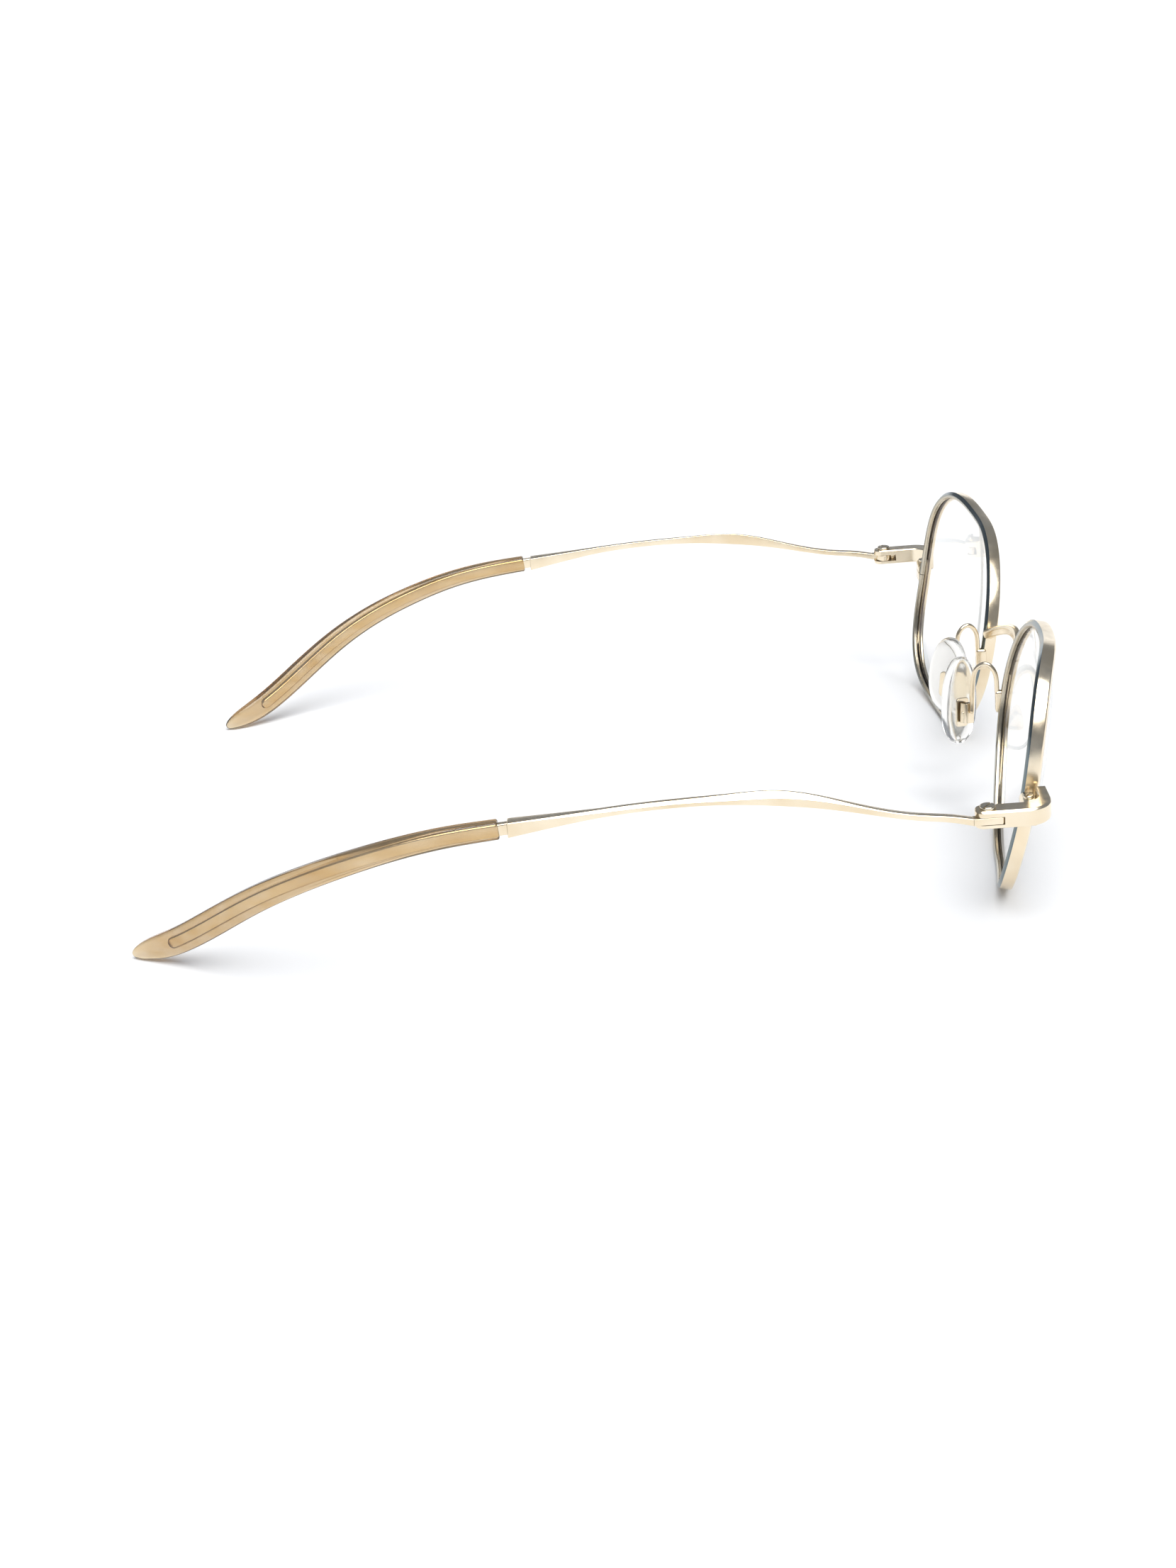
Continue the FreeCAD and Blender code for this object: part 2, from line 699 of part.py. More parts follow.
pad_turn = Rotation(Vector(1, 0, 0), size("pad_lean"))
pad_turn = pad_turn.multiply(Rotation(Vector(0, 0, 1), -size("pad_splay")))
pad_turn = pad_turn.multiply(Rotation(Vector(0, 1, 0), -size("pad_flare")))
pad_place = Placement(box_centre, pad_turn)

LUG_WIDTH = "(box_width - 2 * box_wall - 2 * lug_clearance)"
PLATE_FACE = "(-box_depth / 2 - pad_rock_gap)"
SLOT_SIDE = "(box_width / 2 - box_wall)"

box_body = new_body("pad_box_body")
box_plan = new_sketch(box_body, "box_plan", level="-box_length / 2")
add_box(box_plan, "-box_depth / 2", "box_depth / 2", "-box_width / 2", "box_width / 2")
extrude(box_body, "PartDesign::Pad", box_plan, "box_block", "box_length")
box_slot = new_sketch(box_body, "box_slot", level="-box_length / 2")
add_box(box_slot, "-box_depth / 2", "box_depth / 2 - box_wall", f"-{SLOT_SIDE}", SLOT_SIDE)
extrude(box_body, "PartDesign::Pocket", box_slot, "box_slot_cut", reverse=True)
box_body.Placement = pad_place

insert_body = new_body("pad_insert_body")
lug_plan = new_sketch(insert_body, "lug_plan", "XZ_Plane")
add_circle(lug_plan, "-pad_screw_offset", "0", "lug_radius")
extrude(insert_body, "PartDesign::Pad", lug_plan, "lug", LUG_WIDTH, both=True)
stem_plan = new_sketch(insert_body, "stem_plan", level="-stem_height / 2")
add_box(stem_plan, PLATE_FACE, "-pad_screw_offset", f"-{LUG_WIDTH} / 2", f"{LUG_WIDTH} / 2")
extrude(insert_body, "PartDesign::Pad", stem_plan, "stem", "stem_height")
plate_plan = new_sketch(insert_body, "plate_plan", level="-insert_length / 2")
add_box(plate_plan, f"{PLATE_FACE} - insert_thickness", PLATE_FACE, "-insert_width / 2", "insert_width / 2")
extrude(insert_body, "PartDesign::Pad", plate_plan, "plate", "insert_length")
insert_body.Placement = pad_place


def cross_pin(name, radius, length):
    """A round bar along the rocking axis, centred in the holder."""
    bar = doc.addObject("Part::Cylinder", name)
    bind(bar, "Radius", radius)
    bind(bar, "Height", length)
    start = Vector(-size("pad_screw_offset"), -size(length) / 2, 0)
    bar.Placement = pad_place.multiply(Placement(start, Rotation(Vector(1, 0, 0), -90)))
    return bar


pad_screw_left = cross_pin("pad_screw_left", "pad_screw_radius", "box_width + 2 * pad_screw_stand")
pad_screw_bore = cross_pin("pad_screw_bore", "pad_screw_radius + pin_clearance", "2 * box_width")
pad_box_left = cut("pad_box_left", box_body, pad_screw_bore)
pad_insert_left = cut("pad_insert_left", insert_body, pad_screw_bore)

# ------------------------------------------------------------------ pad arm

foot_block = doc.addObject("Part::Box", "foot_block")
bind(foot_block, "Length", "foot_thickness")
bind(foot_block, "Width", "foot_depth")
bind(foot_block, "Height", "foot_height")
bind(foot_block, "Placement.Base.x", FOOT_IN)
bind(foot_block, "Placement.Base.y", FOOT_FRONT)
bind(foot_block, "Placement.Base.z", "foot_level - foot_height / 2")

# The wire climbs from the foot, turns over at its top and comes down along the holder's back.
# Each row: share of the way back, share of the way in, height above the foot as a share of the rise.
ARM_ROUTE = [
    (0.00, 0.00, -0.25),
    (0.02, 0.00, 0.20),
    (0.10, 0.04, 0.72),
    (0.38, 0.20, 1.00),
    (0.66, 0.38, 0.86),
    (0.80, 0.50, 0.45),
]
arm_points = []
for back, inward, rise in ARM_ROUTE:
    arm_points.append(Vector(
        foot_x - inward * size("arm_inward"),
        foot_y + back * size("arm_back"),
        foot_top + rise * size("arm_rise"),
    ))
wire_seat = size("box_depth / 2 + wire_radius - wire_sink")
for height in (size("wire_landing"), 0):
    arm_points.append(pad_place.multVec(Vector(wire_seat, 0, height)))
arm_curve = smooth(arm_points)
wire_heading = Vector(*arm_curve.tangent(arm_curve.FirstParameter)[0])
wire_start = Part.Wire([Part.Circle(arm_points[0], wire_heading, size("wire_radius")).toShape()])
wire_pipe = Part.Wire([arm_curve.toShape()]).makePipeShell([wire_start], True, True)
wire = plain("pad_arm_wire", wire_pipe)
pad_arm_left = cut("pad_arm_left", join("pad_arm_joined", foot_block, wire), rim_filled, box_body)

# ------------------------------------------------------------------ nose pad

pad_back = Vector(size(f"{PLATE_FACE} - insert_cover"), 0, size("pad_lift"))
pad_outline = oval_section(pad_back, Vector(0, 1, 0), Vector(0, 0, 1), size("pad_width"), size("pad_length"))
pad_block = doc.addObject("Part::Extrusion", "pad_block")
pad_block.Base = plain("pad_face", Part.Face(pad_outline))
pad_block.Dir = Vector(-1, 0, 0)
bind(pad_block, "LengthFwd", "pad_thickness")
pad_block.Solid = True
doc.recompute()
pad_round = doc.addObject("Part::Fillet", "pad_round")
pad_round.Base = pad_block
roundings = []
for index, edge in enumerate(pad_block.Shape.Edges, start=1):
    if edge.isClosed():
        at_back = edge.CenterOfMass.x > pad_back.x - size("pad_thickness / 2")
        radius = size("pad_back_rounding" if at_back else "pad_front_rounding")
        roundings.append((index, radius, radius))
pad_round.Edges = roundings
pad_round.Placement = pad_place
doc.recompute()
nose_pad_left = cut("nose_pad_left", pad_round, insert_body)

# ------------------------------------------------------------------ right side, standing, files

left_side = [
    rim_left, lens_left, closing_block_upper_left, closing_block_lower_left, closing_screw_left,
    endpiece_left, hinge_screw_left, temple_left, temple_tip_left,
    pad_arm_left, pad_box_left, pad_insert_left, pad_screw_left, nose_pad_left,
]
drawn = left_side + [bridge]
doc.recompute()



def lowest_point(piece):
    """The point of a piece nearest to a wide plane far below it."""
    reach = 1000.0
    ground = Part.makePlane(2 * reach, 2 * reach, Vector(-reach, -reach, -reach))
    return piece.Shape.distToShape(ground)[1][0][0]


# The frame leans until its rims and its tips stand at one level. The origin is then the centre of
# the ground that it covers.
rim_foot, tip_foot = lowest_point(rim_left), lowest_point(temple_tip_left)
lean = math.degrees(math.atan2(tip_foot.z - rim_foot.z, tip_foot.y - rim_foot.y))
leaned = Placement(Vector(0, 0, 0), Rotation(Vector(1, 0, 0), -lean))
for piece in drawn:
    piece.Placement = leaned.multiply(piece.Placement)
bounds = [piece.Shape.optimalBoundingBox() for piece in drawn]
middle_y = (min(box.YMin for box in bounds) + max(box.YMax for box in bounds)) / 2
settled = Placement(Vector(0, -middle_y, -min(box.ZMin for box in bounds)), Rotation())
for piece in drawn:
    piece.Placement = settled.multiply(piece.Placement)
standing = settled.multiply(leaned)

subparts = list(drawn)
for piece in left_side:
    mirrored = doc.addObject("Part::Mirroring", piece.Name.replace("_left", "_right"))
    mirrored.Source = piece
    mirrored.Normal = Vector(1, 0, 0)
    subparts.append(mirrored)
doc.recompute()

for feature in doc.Objects:
    if any(word in feature.State for word in ("Invalid", "Error")):
        raise RuntimeError(f"{feature.Name} failed: {feature.State}")
for piece in subparts:
    if piece.Shape.isNull() or not piece.Shape.isValid() or not piece.Shape.Solids:
        raise RuntimeError(f"{piece.Name} has no valid solid")

os.makedirs("parts", exist_ok=True)
for piece in subparts:
    piece.Label = piece.Name
    piece.Shape.exportStep(f"parts/{piece.Label}.step")
    print(piece.Label, len(piece.Shape.Solids), round(piece.Shape.Volume, 3))

# Where the frame stands, and where the record's joints turn.
print("lean", lean, "move", standing.Base)
print("hinge pivot", standing.multVec(Vector(size(HINGE_X), size(HINGE_Y), size("tongue_level"))))
print("hinge axis", standing.Rotation.multVec(Vector(0, 0, 1)))
pad_stand = standing.multiply(pad_place)
print("pad pivot", pad_stand.multVec(Vector(-size("pad_screw_offset"), 0, 0)))
print("pad axis", pad_stand.Rotation.multVec(Vector(0, 1, 0)))
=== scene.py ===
"""Full-rim metal eyeglasses frame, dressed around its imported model.

Shapes are drawn in millimetres about the lens datum, the point midway between the two lens centres:
+X is the wearer's left, +Y runs back along the temples and +Z is up. The left side is drawn and the
right side mirrors it. Each finished piece is then leaned and moved to where the frame stands.
"""

import math

import bmesh
import bpy
import numpy as np
from mathutils import Matrix


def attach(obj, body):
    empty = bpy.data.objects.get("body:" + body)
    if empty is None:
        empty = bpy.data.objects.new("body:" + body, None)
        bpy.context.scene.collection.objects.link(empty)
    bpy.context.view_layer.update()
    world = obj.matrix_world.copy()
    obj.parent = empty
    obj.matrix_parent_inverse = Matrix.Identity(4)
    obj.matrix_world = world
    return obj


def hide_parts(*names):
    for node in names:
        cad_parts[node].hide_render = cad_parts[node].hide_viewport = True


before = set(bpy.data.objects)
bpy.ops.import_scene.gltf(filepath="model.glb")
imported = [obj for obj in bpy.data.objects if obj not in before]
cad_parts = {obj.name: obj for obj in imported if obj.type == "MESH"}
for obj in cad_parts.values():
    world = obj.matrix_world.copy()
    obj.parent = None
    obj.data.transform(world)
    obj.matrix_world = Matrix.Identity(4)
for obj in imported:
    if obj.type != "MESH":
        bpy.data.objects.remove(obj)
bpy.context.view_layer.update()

bl_info = {
    "name": "Eyeglasses Frame",
    "version": (1, 0, 0),
    "blender": (4, 5, 0),
    "location": "View3D > Sidebar > Eyewear",
    "description": "Builds the detailed pieces and finishes of a full-rim metal eyeglasses frame",
    "category": "Add Mesh",
}

MM = 0.001
SIDES = {"left": 1.0, "right": -1.0}

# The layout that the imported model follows. Each lens is turned by the wrap and the tilt, and the back of its rim
# lies on a sphere of the face curve's radius. The whole frame leans, so that its rims and tips stand level.
LENS_SPACING = 72.2
WRAP = math.radians(6.5)
TILT = math.radians(10.5)
FACE_CURVE = 75.0
LEAN = math.radians(0.7746)
STANDS_AT = np.array([0.0, -70.5281, 20.2122])

# The hinge's middle, across and back, and the tongue that turns about it in the end piece's slot.
HINGE = np.array([66.8983, 12.0001])
HINGE_RADIUS = 1.45
OUTER_FACE = HINGE[0] + HINGE_RADIUS
INNER_FACE = HINGE[0] - HINGE_RADIUS
TONGUE_LEVEL = 2.45
TONGUE_HALF = 0.55
TONGUE_AHEAD = 2.25
TONGUE_BEHIND = 2.3
SLOT_GAP = 0.06
TEMPLE_LENGTH = 70.5
TIP_LENGTH = 61.0

# The nasal side of each rim, where the bridge and the pad arm are soldered.
RIM_NASAL_X = 11.0046
NASAL_EDGE_Y = 1.2381

# The axes of a slab that is drawn out along X from an outline in Y and Z, along Y from one in Z and X, and
# along Y from one in X and Z.
ALONG_X = [(0, 1, 0), (0, 0, 1), (1, 0, 0)]
ALONG_Y = [(0, 0, 1), (1, 0, 0), (0, 1, 0)]
UPRIGHT = [(1, 0, 0), (0, 0, 1), (0, 1, 0)]


# ------------------------------------------------------------------ sizes and colours


class EyewearSizes(bpy.types.PropertyGroup):
    """Sizes of the visible detail."""

    rim_wall: bpy.props.FloatProperty(
        name="Rim wall", description="Thickness of the rim seen from the front", default=0.0012,
        unit="LENGTH")
    rim_depth: bpy.props.FloatProperty(
        name="Rim depth", description="Depth of the rim from front to back", default=0.0024, unit="LENGTH")
    rim_bevel: bpy.props.FloatProperty(
        name="Rim bevel", description="Size of the slanted face at the rim's outer back edge", default=0.0006,
        unit="LENGTH")
    temple_thickness: bpy.props.FloatProperty(
        name="Temple thickness", description="Side thickness of the metal temple", default=0.00125,
        unit="LENGTH")
    wire_radius: bpy.props.FloatProperty(
        name="Pad arm radius", description="Radius of the wire that carries each nose pad", default=0.0004,
        unit="LENGTH")
    pad_thickness: bpy.props.FloatProperty(
        name="Pad thickness", description="Thickness of each nose pad", default=0.0026, unit="LENGTH")


class EyewearColours(bpy.types.PropertyGroup):
    """Colours as sRGB hex values."""

    metal: bpy.props.StringProperty(
        name="Plating", description="Lighter tone of the champagne plating", default="#EFE2CA")
    metal_deep: bpy.props.StringProperty(
        name="Plating, deep", description="Deeper tone of the champagne plating", default="#E2CFAF")
    # Dark teal that is painted into each rim's back bevel, standing in for a dark reflection.
    lacquer: bpy.props.StringProperty(
        name="Bevel lacquer", description="Dark teal lacquer in the back bevel of each rim",
        default="#66747A")
    screw: bpy.props.StringProperty(
        name="Screws", description="Polished screw heads", default="#E0D8C6")
    acetate: bpy.props.StringProperty(
        name="Acetate", description="Amber crystal of the temple tips", default="#F3DFB4")
    acetate_pale: bpy.props.StringProperty(
        name="Acetate, pale", description="Paler amber of the temple tips", default="#FCF4E2")
    acetate_depth: bpy.props.StringProperty(
        name="Acetate, depth", description="Amber that deepens with the thickness looked through",
        default="#C29C3A")
    silicone: bpy.props.StringProperty(
        name="Silicone", description="Nose pads", default="#FCFBF7")
    lens: bpy.props.StringProperty(
        name="Lens", description="Plain demo lenses", default="#FCFBFA")
    lens_glint: bpy.props.StringProperty(
        name="Lens glint", description="Rosy tint of the lenses' reflections", default="#FFD9D2")
    floor: bpy.props.StringProperty(
        name="Floor", description="Card that the frame stands on", default="#FAFAFA")
    room: bpy.props.StringProperty(
        name="Room", description="Light that comes from all round", default="#C4CBD6")


# ------------------------------------------------------------------ shapes


def turn(axis, angle):
    """A turn about one of the three axes, as a matrix that points are multiplied by from the right."""
    return np.array(Matrix.Rotation(angle, 3, axis)).T


LENS_TURN = turn("Z", WRAP) @ turn("X", TILT)


def unit(vectors):
    """Vectors divided by their lengths."""
    return vectors / np.linalg.norm(vectors, axis=-1, keepdims=True)


def spline(knots, values, where):
    """A natural cubic spline: between two knots the value is the straight mix of its ends plus cubic terms of
    the second slopes, which are zero at both ends and make the slope run on at each knot."""
    knots, values = np.asarray(knots, float), np.asarray(values, float)
    values = values.reshape(len(knots), -1)
    gap = np.diff(knots)
    count = len(knots)
    matrix = np.eye(count)
    right = np.zeros_like(values)
    inner = np.arange(1, count - 1)
    matrix[inner, inner - 1] = gap[:-1]
    matrix[inner, inner] = 2 * (gap[:-1] + gap[1:])
    matrix[inner, inner + 1] = gap[1:]
    slope = np.diff(values, axis=0) / gap[:, None]
    right[inner] = 6 * np.diff(slope, axis=0)
    bend = np.linalg.solve(matrix, right)
    where = np.asarray(where, float)
    k = np.clip(np.searchsorted(knots, where, side="right") - 1, 0, count - 2)
    a = ((knots[k + 1] - where) / gap[k])[:, None]
    b = 1 - a
    span = (gap[k] ** 2 / 6)[:, None]
    return a * values[k] + b * values[k + 1] + ((a**3 - a) * bend[k] + (b**3 - b) * bend[k + 1]) * span


def smooth_path(points, count):
    """A spline through points, spaced by the lengths between them, with its unit directions."""
    points = np.asarray(points, float)
    run = np.concatenate([[0.0], np.cumsum(np.linalg.norm(np.diff(points, axis=0), axis=1))])
    path = spline(run, points, np.linspace(0, run[-1], count))
    return path, unit(np.gradient(path, axis=0))


def rounded(corners, radii, steps=5):
    """Outlines with round corners, and their outward directions. Each corner of a counter-clockwise outline
    becomes an arc tangent to both of its sides: it starts before the corner by its radius times the tangent of
    half the turn."""
    c = np.asarray(corners, float)
    radius = np.broadcast_to(radii, c.shape[:-1])
    before = unit(c - np.roll(c, 1, axis=-2))
    after = unit(np.roll(c, -1, axis=-2) - c)
    cross = before[..., 0] * after[..., 1] - before[..., 1] * after[..., 0]
    bend = np.arctan2(cross, (before * after).sum(-1))
    start = c - before * (radius * np.tan(np.abs(bend) / 2))[..., None]
    out = np.stack([before[..., 1], -before[..., 0]], axis=-1)
    reach = (np.sign(bend) * radius)[..., None]
    centre = start - reach * out
    swing = bend[..., None] * np.linspace(0, 1, steps)
    cos, sin = np.cos(swing), np.sin(swing)
    x, y = out[..., 0, None], out[..., 1, None]
    normals = np.stack([x * cos - y * sin, x * sin + y * cos], axis=-1)
    points = centre[..., None, :] + reach[..., None] * normals
    shape = c.shape[:-2] + (-1, 2)
    return points.reshape(shape), normals.reshape(shape)


def box(left, right, low, high):
    """The corners of a rectangle, counter-clockwise from the lower left."""
    return [(left, low), (right, low), (right, high), (left, high)]


def oval(width, height, squareness=2.0, count=48):
    """A superellipse and its outward directions: |x / half width| and |y / half height|, each raised to the
    squareness, add up to one."""
    angle = np.linspace(0, 2 * np.pi, count, endpoint=False)
    cos, sin = np.cos(angle), np.sin(angle)
    power = 2 / squareness
    points = np.stack([
        np.multiply.outer(width / 2, np.sign(cos) * np.abs(cos) ** power),
        np.multiply.outer(height / 2, np.sign(sin) * np.abs(sin) ** power),
    ], axis=-1)
    along = np.roll(points, -1, axis=-2) - np.roll(points, 1, axis=-2)
    return points, unit(np.stack([along[..., 1], -along[..., 0]], axis=-1))


def soft_edges(low, high, round_low, round_high, steps=5):
    """Heights and insets of a slab whose two rims are quarter rounds: round a rim the height goes as one less
    the cosine, and the inset as one less the sine."""
    t = np.linspace(0, np.pi / 2, steps)
    heights = np.concatenate([low + round_low * (1 - np.cos(t)), high - round_high * (1 - np.cos(t[::-1]))])
    insets = np.concatenate([round_low * (1 - np.sin(t)), round_high * (1 - np.sin(t[::-1]))])
    return heights[:, None], insets[:, None]


def slab(outline, heights, insets, axes=np.eye(3), centre=(0, 0, 0)):
    """Copies of an outline stacked at their heights, each drawn in along its outward directions by its inset,
    and set along three axes about a centre. One more copy just inside each end keeps its flat face looking
    flat."""
    guard = 0.03
    points, normals = outline
    insets = np.concatenate([insets[:1] + guard, insets, insets[-1:] + guard])
    heights = np.concatenate([heights[:1], heights, heights[-1:]])
    flat = points - normals * insets[..., None]
    up = np.broadcast_to(heights, flat.shape[:-1])[..., None]
    return np.concatenate([flat, up], axis=-1) @ np.asarray(axes, float) + np.asarray(centre, float)


def carried(path, side, up, section):
    """A section set up at each point of a path: its first number runs to the side and its second upwards."""
    return path[:, None] + section[..., 0, None] * side[:, None] + section[..., 1, None] * up[:, None]


def closed_skin(rows, first):
    """The points of a stack of rings and the faces of the closed skin over it: a quad between each two
    neighbours on neighbouring rings, and one flat face over each end ring. Points are numbered from first."""
    rings, around = rows.shape[:2]
    start = first + np.arange(rings - 1)[:, None] * around
    here = np.arange(around)[None]
    following = (here + 1) % around
    quads = np.stack([
        start + here, start + following, start + around + following, start + around + here], axis=-1)
    bottom = (first + np.arange(around))[::-1]
    top = first + (rings - 1) * around + np.arange(around)
    return rows.reshape(-1, 3), quads.reshape(-1, 4).tolist() + [bottom.tolist(), top.tolist()]


def make_piece(name, shells, side, body, slot, nodes, material, crease=35.0, smoked=None):
    """A mesh object of one or more closed skins, placed where the frame stands. It rides on its CAD body and
    stands for its CAD nodes. Edges sharper than the crease, in degrees, stay crisp. Where given, the last argument
    is how strongly a dark reflection is painted into the finish at each point."""
    points, faces = [], []
    for rows in shells:
        skin, patches = closed_skin(rows, sum(len(p) for p in points))
        points.append(skin)
        faces += patches
    placed = np.concatenate(points) @ turn("X", -LEAN) + STANDS_AT
    placed = placed * MM * np.array([side, 1.0, 1.0])
    mesh = bpy.data.meshes.new(name)
    mesh.from_pydata(placed, [], faces)
    work = bmesh.new()
    work.from_mesh(mesh)
    bmesh.ops.recalc_face_normals(work, faces=work.faces)
    work.to_mesh(mesh)
    work.free()
    mesh.shade_smooth()
    mesh.set_sharp_from_angle(angle=math.radians(crease))
    mesh.materials.append(material)
    # The painted dark reflection rides on the mesh as one float for each point.
    if smoked is not None:
        darkness = mesh.attributes.new("smoked", "FLOAT", "POINT")
        darkness.data.foreach_set("value", smoked.astype(np.float32).ravel())
    piece = bpy.data.objects.new(name, mesh)
    bpy.context.scene.collection.objects.link(piece)
    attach(piece, body)
    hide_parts(*nodes)
    return piece


def make_pair(title, shells, body, slot, nodes, material, **more):
    """The same shells on the left side and mirrored on the right."""
    for side, sign in SIDES.items():
        own_nodes = [node.format(side) for node in nodes]
        make_piece(f"{title}_{side}", shells, sign, body.format(side), slot, own_nodes, material, **more)


# ------------------------------------------------------------------ finishes


def linear(code):
    """The linear colour of an sRGB hex value: low values are divided by 12.92, and the rest have 0.055 added, are
    divided by 1.055 and are raised to 2.4."""
    parts = [int(code[i:i + 2], 16) / 255 for i in (1, 3, 5)]
    return tuple(p / 12.92 if p <= 0.04045 else ((p + 0.055) / 1.055) ** 2.4 for p in parts) + (1.0,)


def add(tree, kind, sockets=None, stops=(), **settings):
    """Adds a node with its settings. Each socket, by name or number, takes a value or another node's output, and
    each stop of a ramp takes its place and colour."""
    node = tree.nodes.new(kind)
    for name, value in settings.items():
        setattr(node, name, value)
    for number, (place, colour) in enumerate(stops):
        node.color_ramp.elements[number].position = place
        node.color_ramp.elements[number].color = linear(colour)
    for name, value in (sockets or {}).items():
        if isinstance(value, bpy.types.NodeSocket):
            tree.links.new(value, node.inputs[name])
        else:
            node.inputs[name].default_value = value
    return node


def per_mm(size):
    """The scale of a pattern in object coordinates whose features are this many millimetres across."""
    return 1.0 / (size * MM)


def new_material(name):
    """A material, its empty tree and its object coordinates, or None for the last two if it is already made."""
    made = bpy.data.materials.get(name)
    if made:
        return made, None, None
    material = bpy.data.materials.new(name)
    material.use_nodes = True
    material.node_tree.nodes.clear()
    where = add(material.node_tree, "ShaderNodeTexCoord").outputs["Object"]
    return material, material.node_tree, where


def champagne_plating(colours):
    """Steel with satin champagne-gold plating, tumbled and lightly brushed: soft broad highlights, with slow shifts
    of tone where the plating is thicker and faint polishing haze in its gloss."""
    material, tree, where = new_material("Satin champagne-gold plated steel")
    if tree:
        tone = add(tree, "ShaderNodeTexNoise", {"Vector": where, "Scale": per_mm(9), "Detail": 3.0})
        haze = add(tree, "ShaderNodeTexNoise", {"Vector": where, "Scale": per_mm(1.6), "Detail": 4.0})
        # The real brushing is about 0.02 mm; it is drawn at 0.25 mm so that it shows.
        grain = add(tree, "ShaderNodeTexNoise", {"Vector": where, "Scale": per_mm(0.25), "Detail": 2.0})
        plating = add(
            tree, "ShaderNodeValToRGB", {"Fac": tone.outputs["Fac"]},
            stops=[(0.35, colours.metal), (0.68, colours.metal_deep)])
        gloss = add(tree, "ShaderNodeMapRange", {
            "Value": haze.outputs["Fac"], "From Min": 0.3, "From Max": 0.7, "To Min": 0.17, "To Max": 0.26})
        relief = add(tree, "ShaderNodeBump", {
            "Height": grain.outputs["Fac"], "Strength": 0.08, "Distance": 0.01 * MM})
        # Dark teal is painted into the back bevel of each rim as a dark reflection, as strongly as the mesh's
        # attribute says. Sockets 6 and 7 are the two mixed colours.
        smoked = add(tree, "ShaderNodeAttribute", attribute_name="smoked")
        colour = add(tree, "ShaderNodeMix", {
            0: smoked.outputs["Fac"], 6: plating.outputs["Color"], 7: linear(colours.lacquer)}, data_type="RGBA")
        shader = add(tree, "ShaderNodeBsdfPrincipled", {
            "Base Color": colour.outputs[2], "Metallic": 1.0, "Roughness": gloss.outputs[0],
            "Normal": relief.outputs[0]})
        add(tree, "ShaderNodeOutputMaterial", {"Surface": shader.outputs[0]})
    return material


def polished_screw(colours):
    """Turned nickel-silver screws: brighter than the plating, with slight rub marks left by handling and drivers."""
    material, tree, where = new_material("Turned nickel-silver screws")
    if tree:
        rub = add(tree, "ShaderNodeTexNoise", {"Vector": where, "Scale": per_mm(0.5), "Detail": 3.0})
        colour = add(
            tree, "ShaderNodeValToRGB", {"Fac": rub.outputs["Fac"]},
            stops=[(0.4, colours.screw), (0.75, colours.metal_deep)])
        gloss = add(tree, "ShaderNodeMapRange", {
            "Value": rub.outputs["Fac"], "From Min": 0.3, "From Max": 0.75, "To Min": 0.16, "To Max": 0.3})
        shader = add(tree, "ShaderNodeBsdfPrincipled", {
            "Base Color": colour.outputs["Color"], "Metallic": 1.0, "Roughness": gloss.outputs[0]})
        add(tree, "ShaderNodeOutputMaterial", {"Surface": shader.outputs[0]})
    return material


def demo_lens(colours):
    """Cast clear resin, as in shop-display lenses: nearly invisible, with a thin rosy reflection and faint smears."""
    material, tree, where = new_material("Cast clear resin lens")
    if tree:
        smear = add(tree, "ShaderNodeTexNoise", {"Vector": where, "Scale": per_mm(14), "Detail": 4.0})
        gloss = add(tree, "ShaderNodeMapRange", {
            "Value": smear.outputs["Fac"], "From Min": 0.45, "From Max": 0.75, "To Min": 0.0, "To Max": 0.04})
        shader = add(tree, "ShaderNodeBsdfPrincipled", {
            "Base Color": linear(colours.lens), "Roughness": gloss.outputs[0], "IOR": 1.5,
            "Transmission Weight": 1.0, "Specular Tint": linear(colours.lens_glint)})
        add(tree, "ShaderNodeOutputMaterial", {"Surface": shader.outputs[0]})
    return material


def crystal_acetate(colours):
    """Cellulose acetate in amber crystal, milled and tumbled: clear depth with soft lengthwise streaks, a wet gloss
    and the faintest waviness from tumbling."""
    material, tree, where = new_material("Amber crystal cellulose acetate")
    if tree:
        stretched = add(tree, "ShaderNodeMapping", {"Vector": where, "Scale": (1.0, 0.12, 1.0)})
        streak = add(tree, "ShaderNodeTexNoise", {
            "Vector": stretched.outputs[0], "Scale": per_mm(1.8), "Detail": 3.0})
        wave = add(tree, "ShaderNodeTexNoise", {"Vector": where, "Scale": per_mm(8), "Detail": 0.0})
        colour = add(
            tree, "ShaderNodeValToRGB", {"Fac": streak.outputs["Fac"]},
            stops=[(0.35, colours.acetate), (0.7, colours.acetate_pale)])
        relief = add(tree, "ShaderNodeBump", {
            "Height": wave.outputs["Fac"], "Strength": 0.06, "Distance": 0.05 * MM})
        shader = add(tree, "ShaderNodeBsdfPrincipled", {
            "Base Color": colour.outputs["Color"], "Roughness": 0.04, "IOR": 1.49, "Transmission Weight": 0.94,
            "Normal": relief.outputs[0]})
        depth = add(tree, "ShaderNodeVolumeAbsorption", {
            "Color": linear(colours.acetate_depth), "Density": 0.42 / MM})
        add(tree, "ShaderNodeOutputMaterial", {"Surface": shader.outputs[0], "Volume": depth.outputs[0]})
    return material


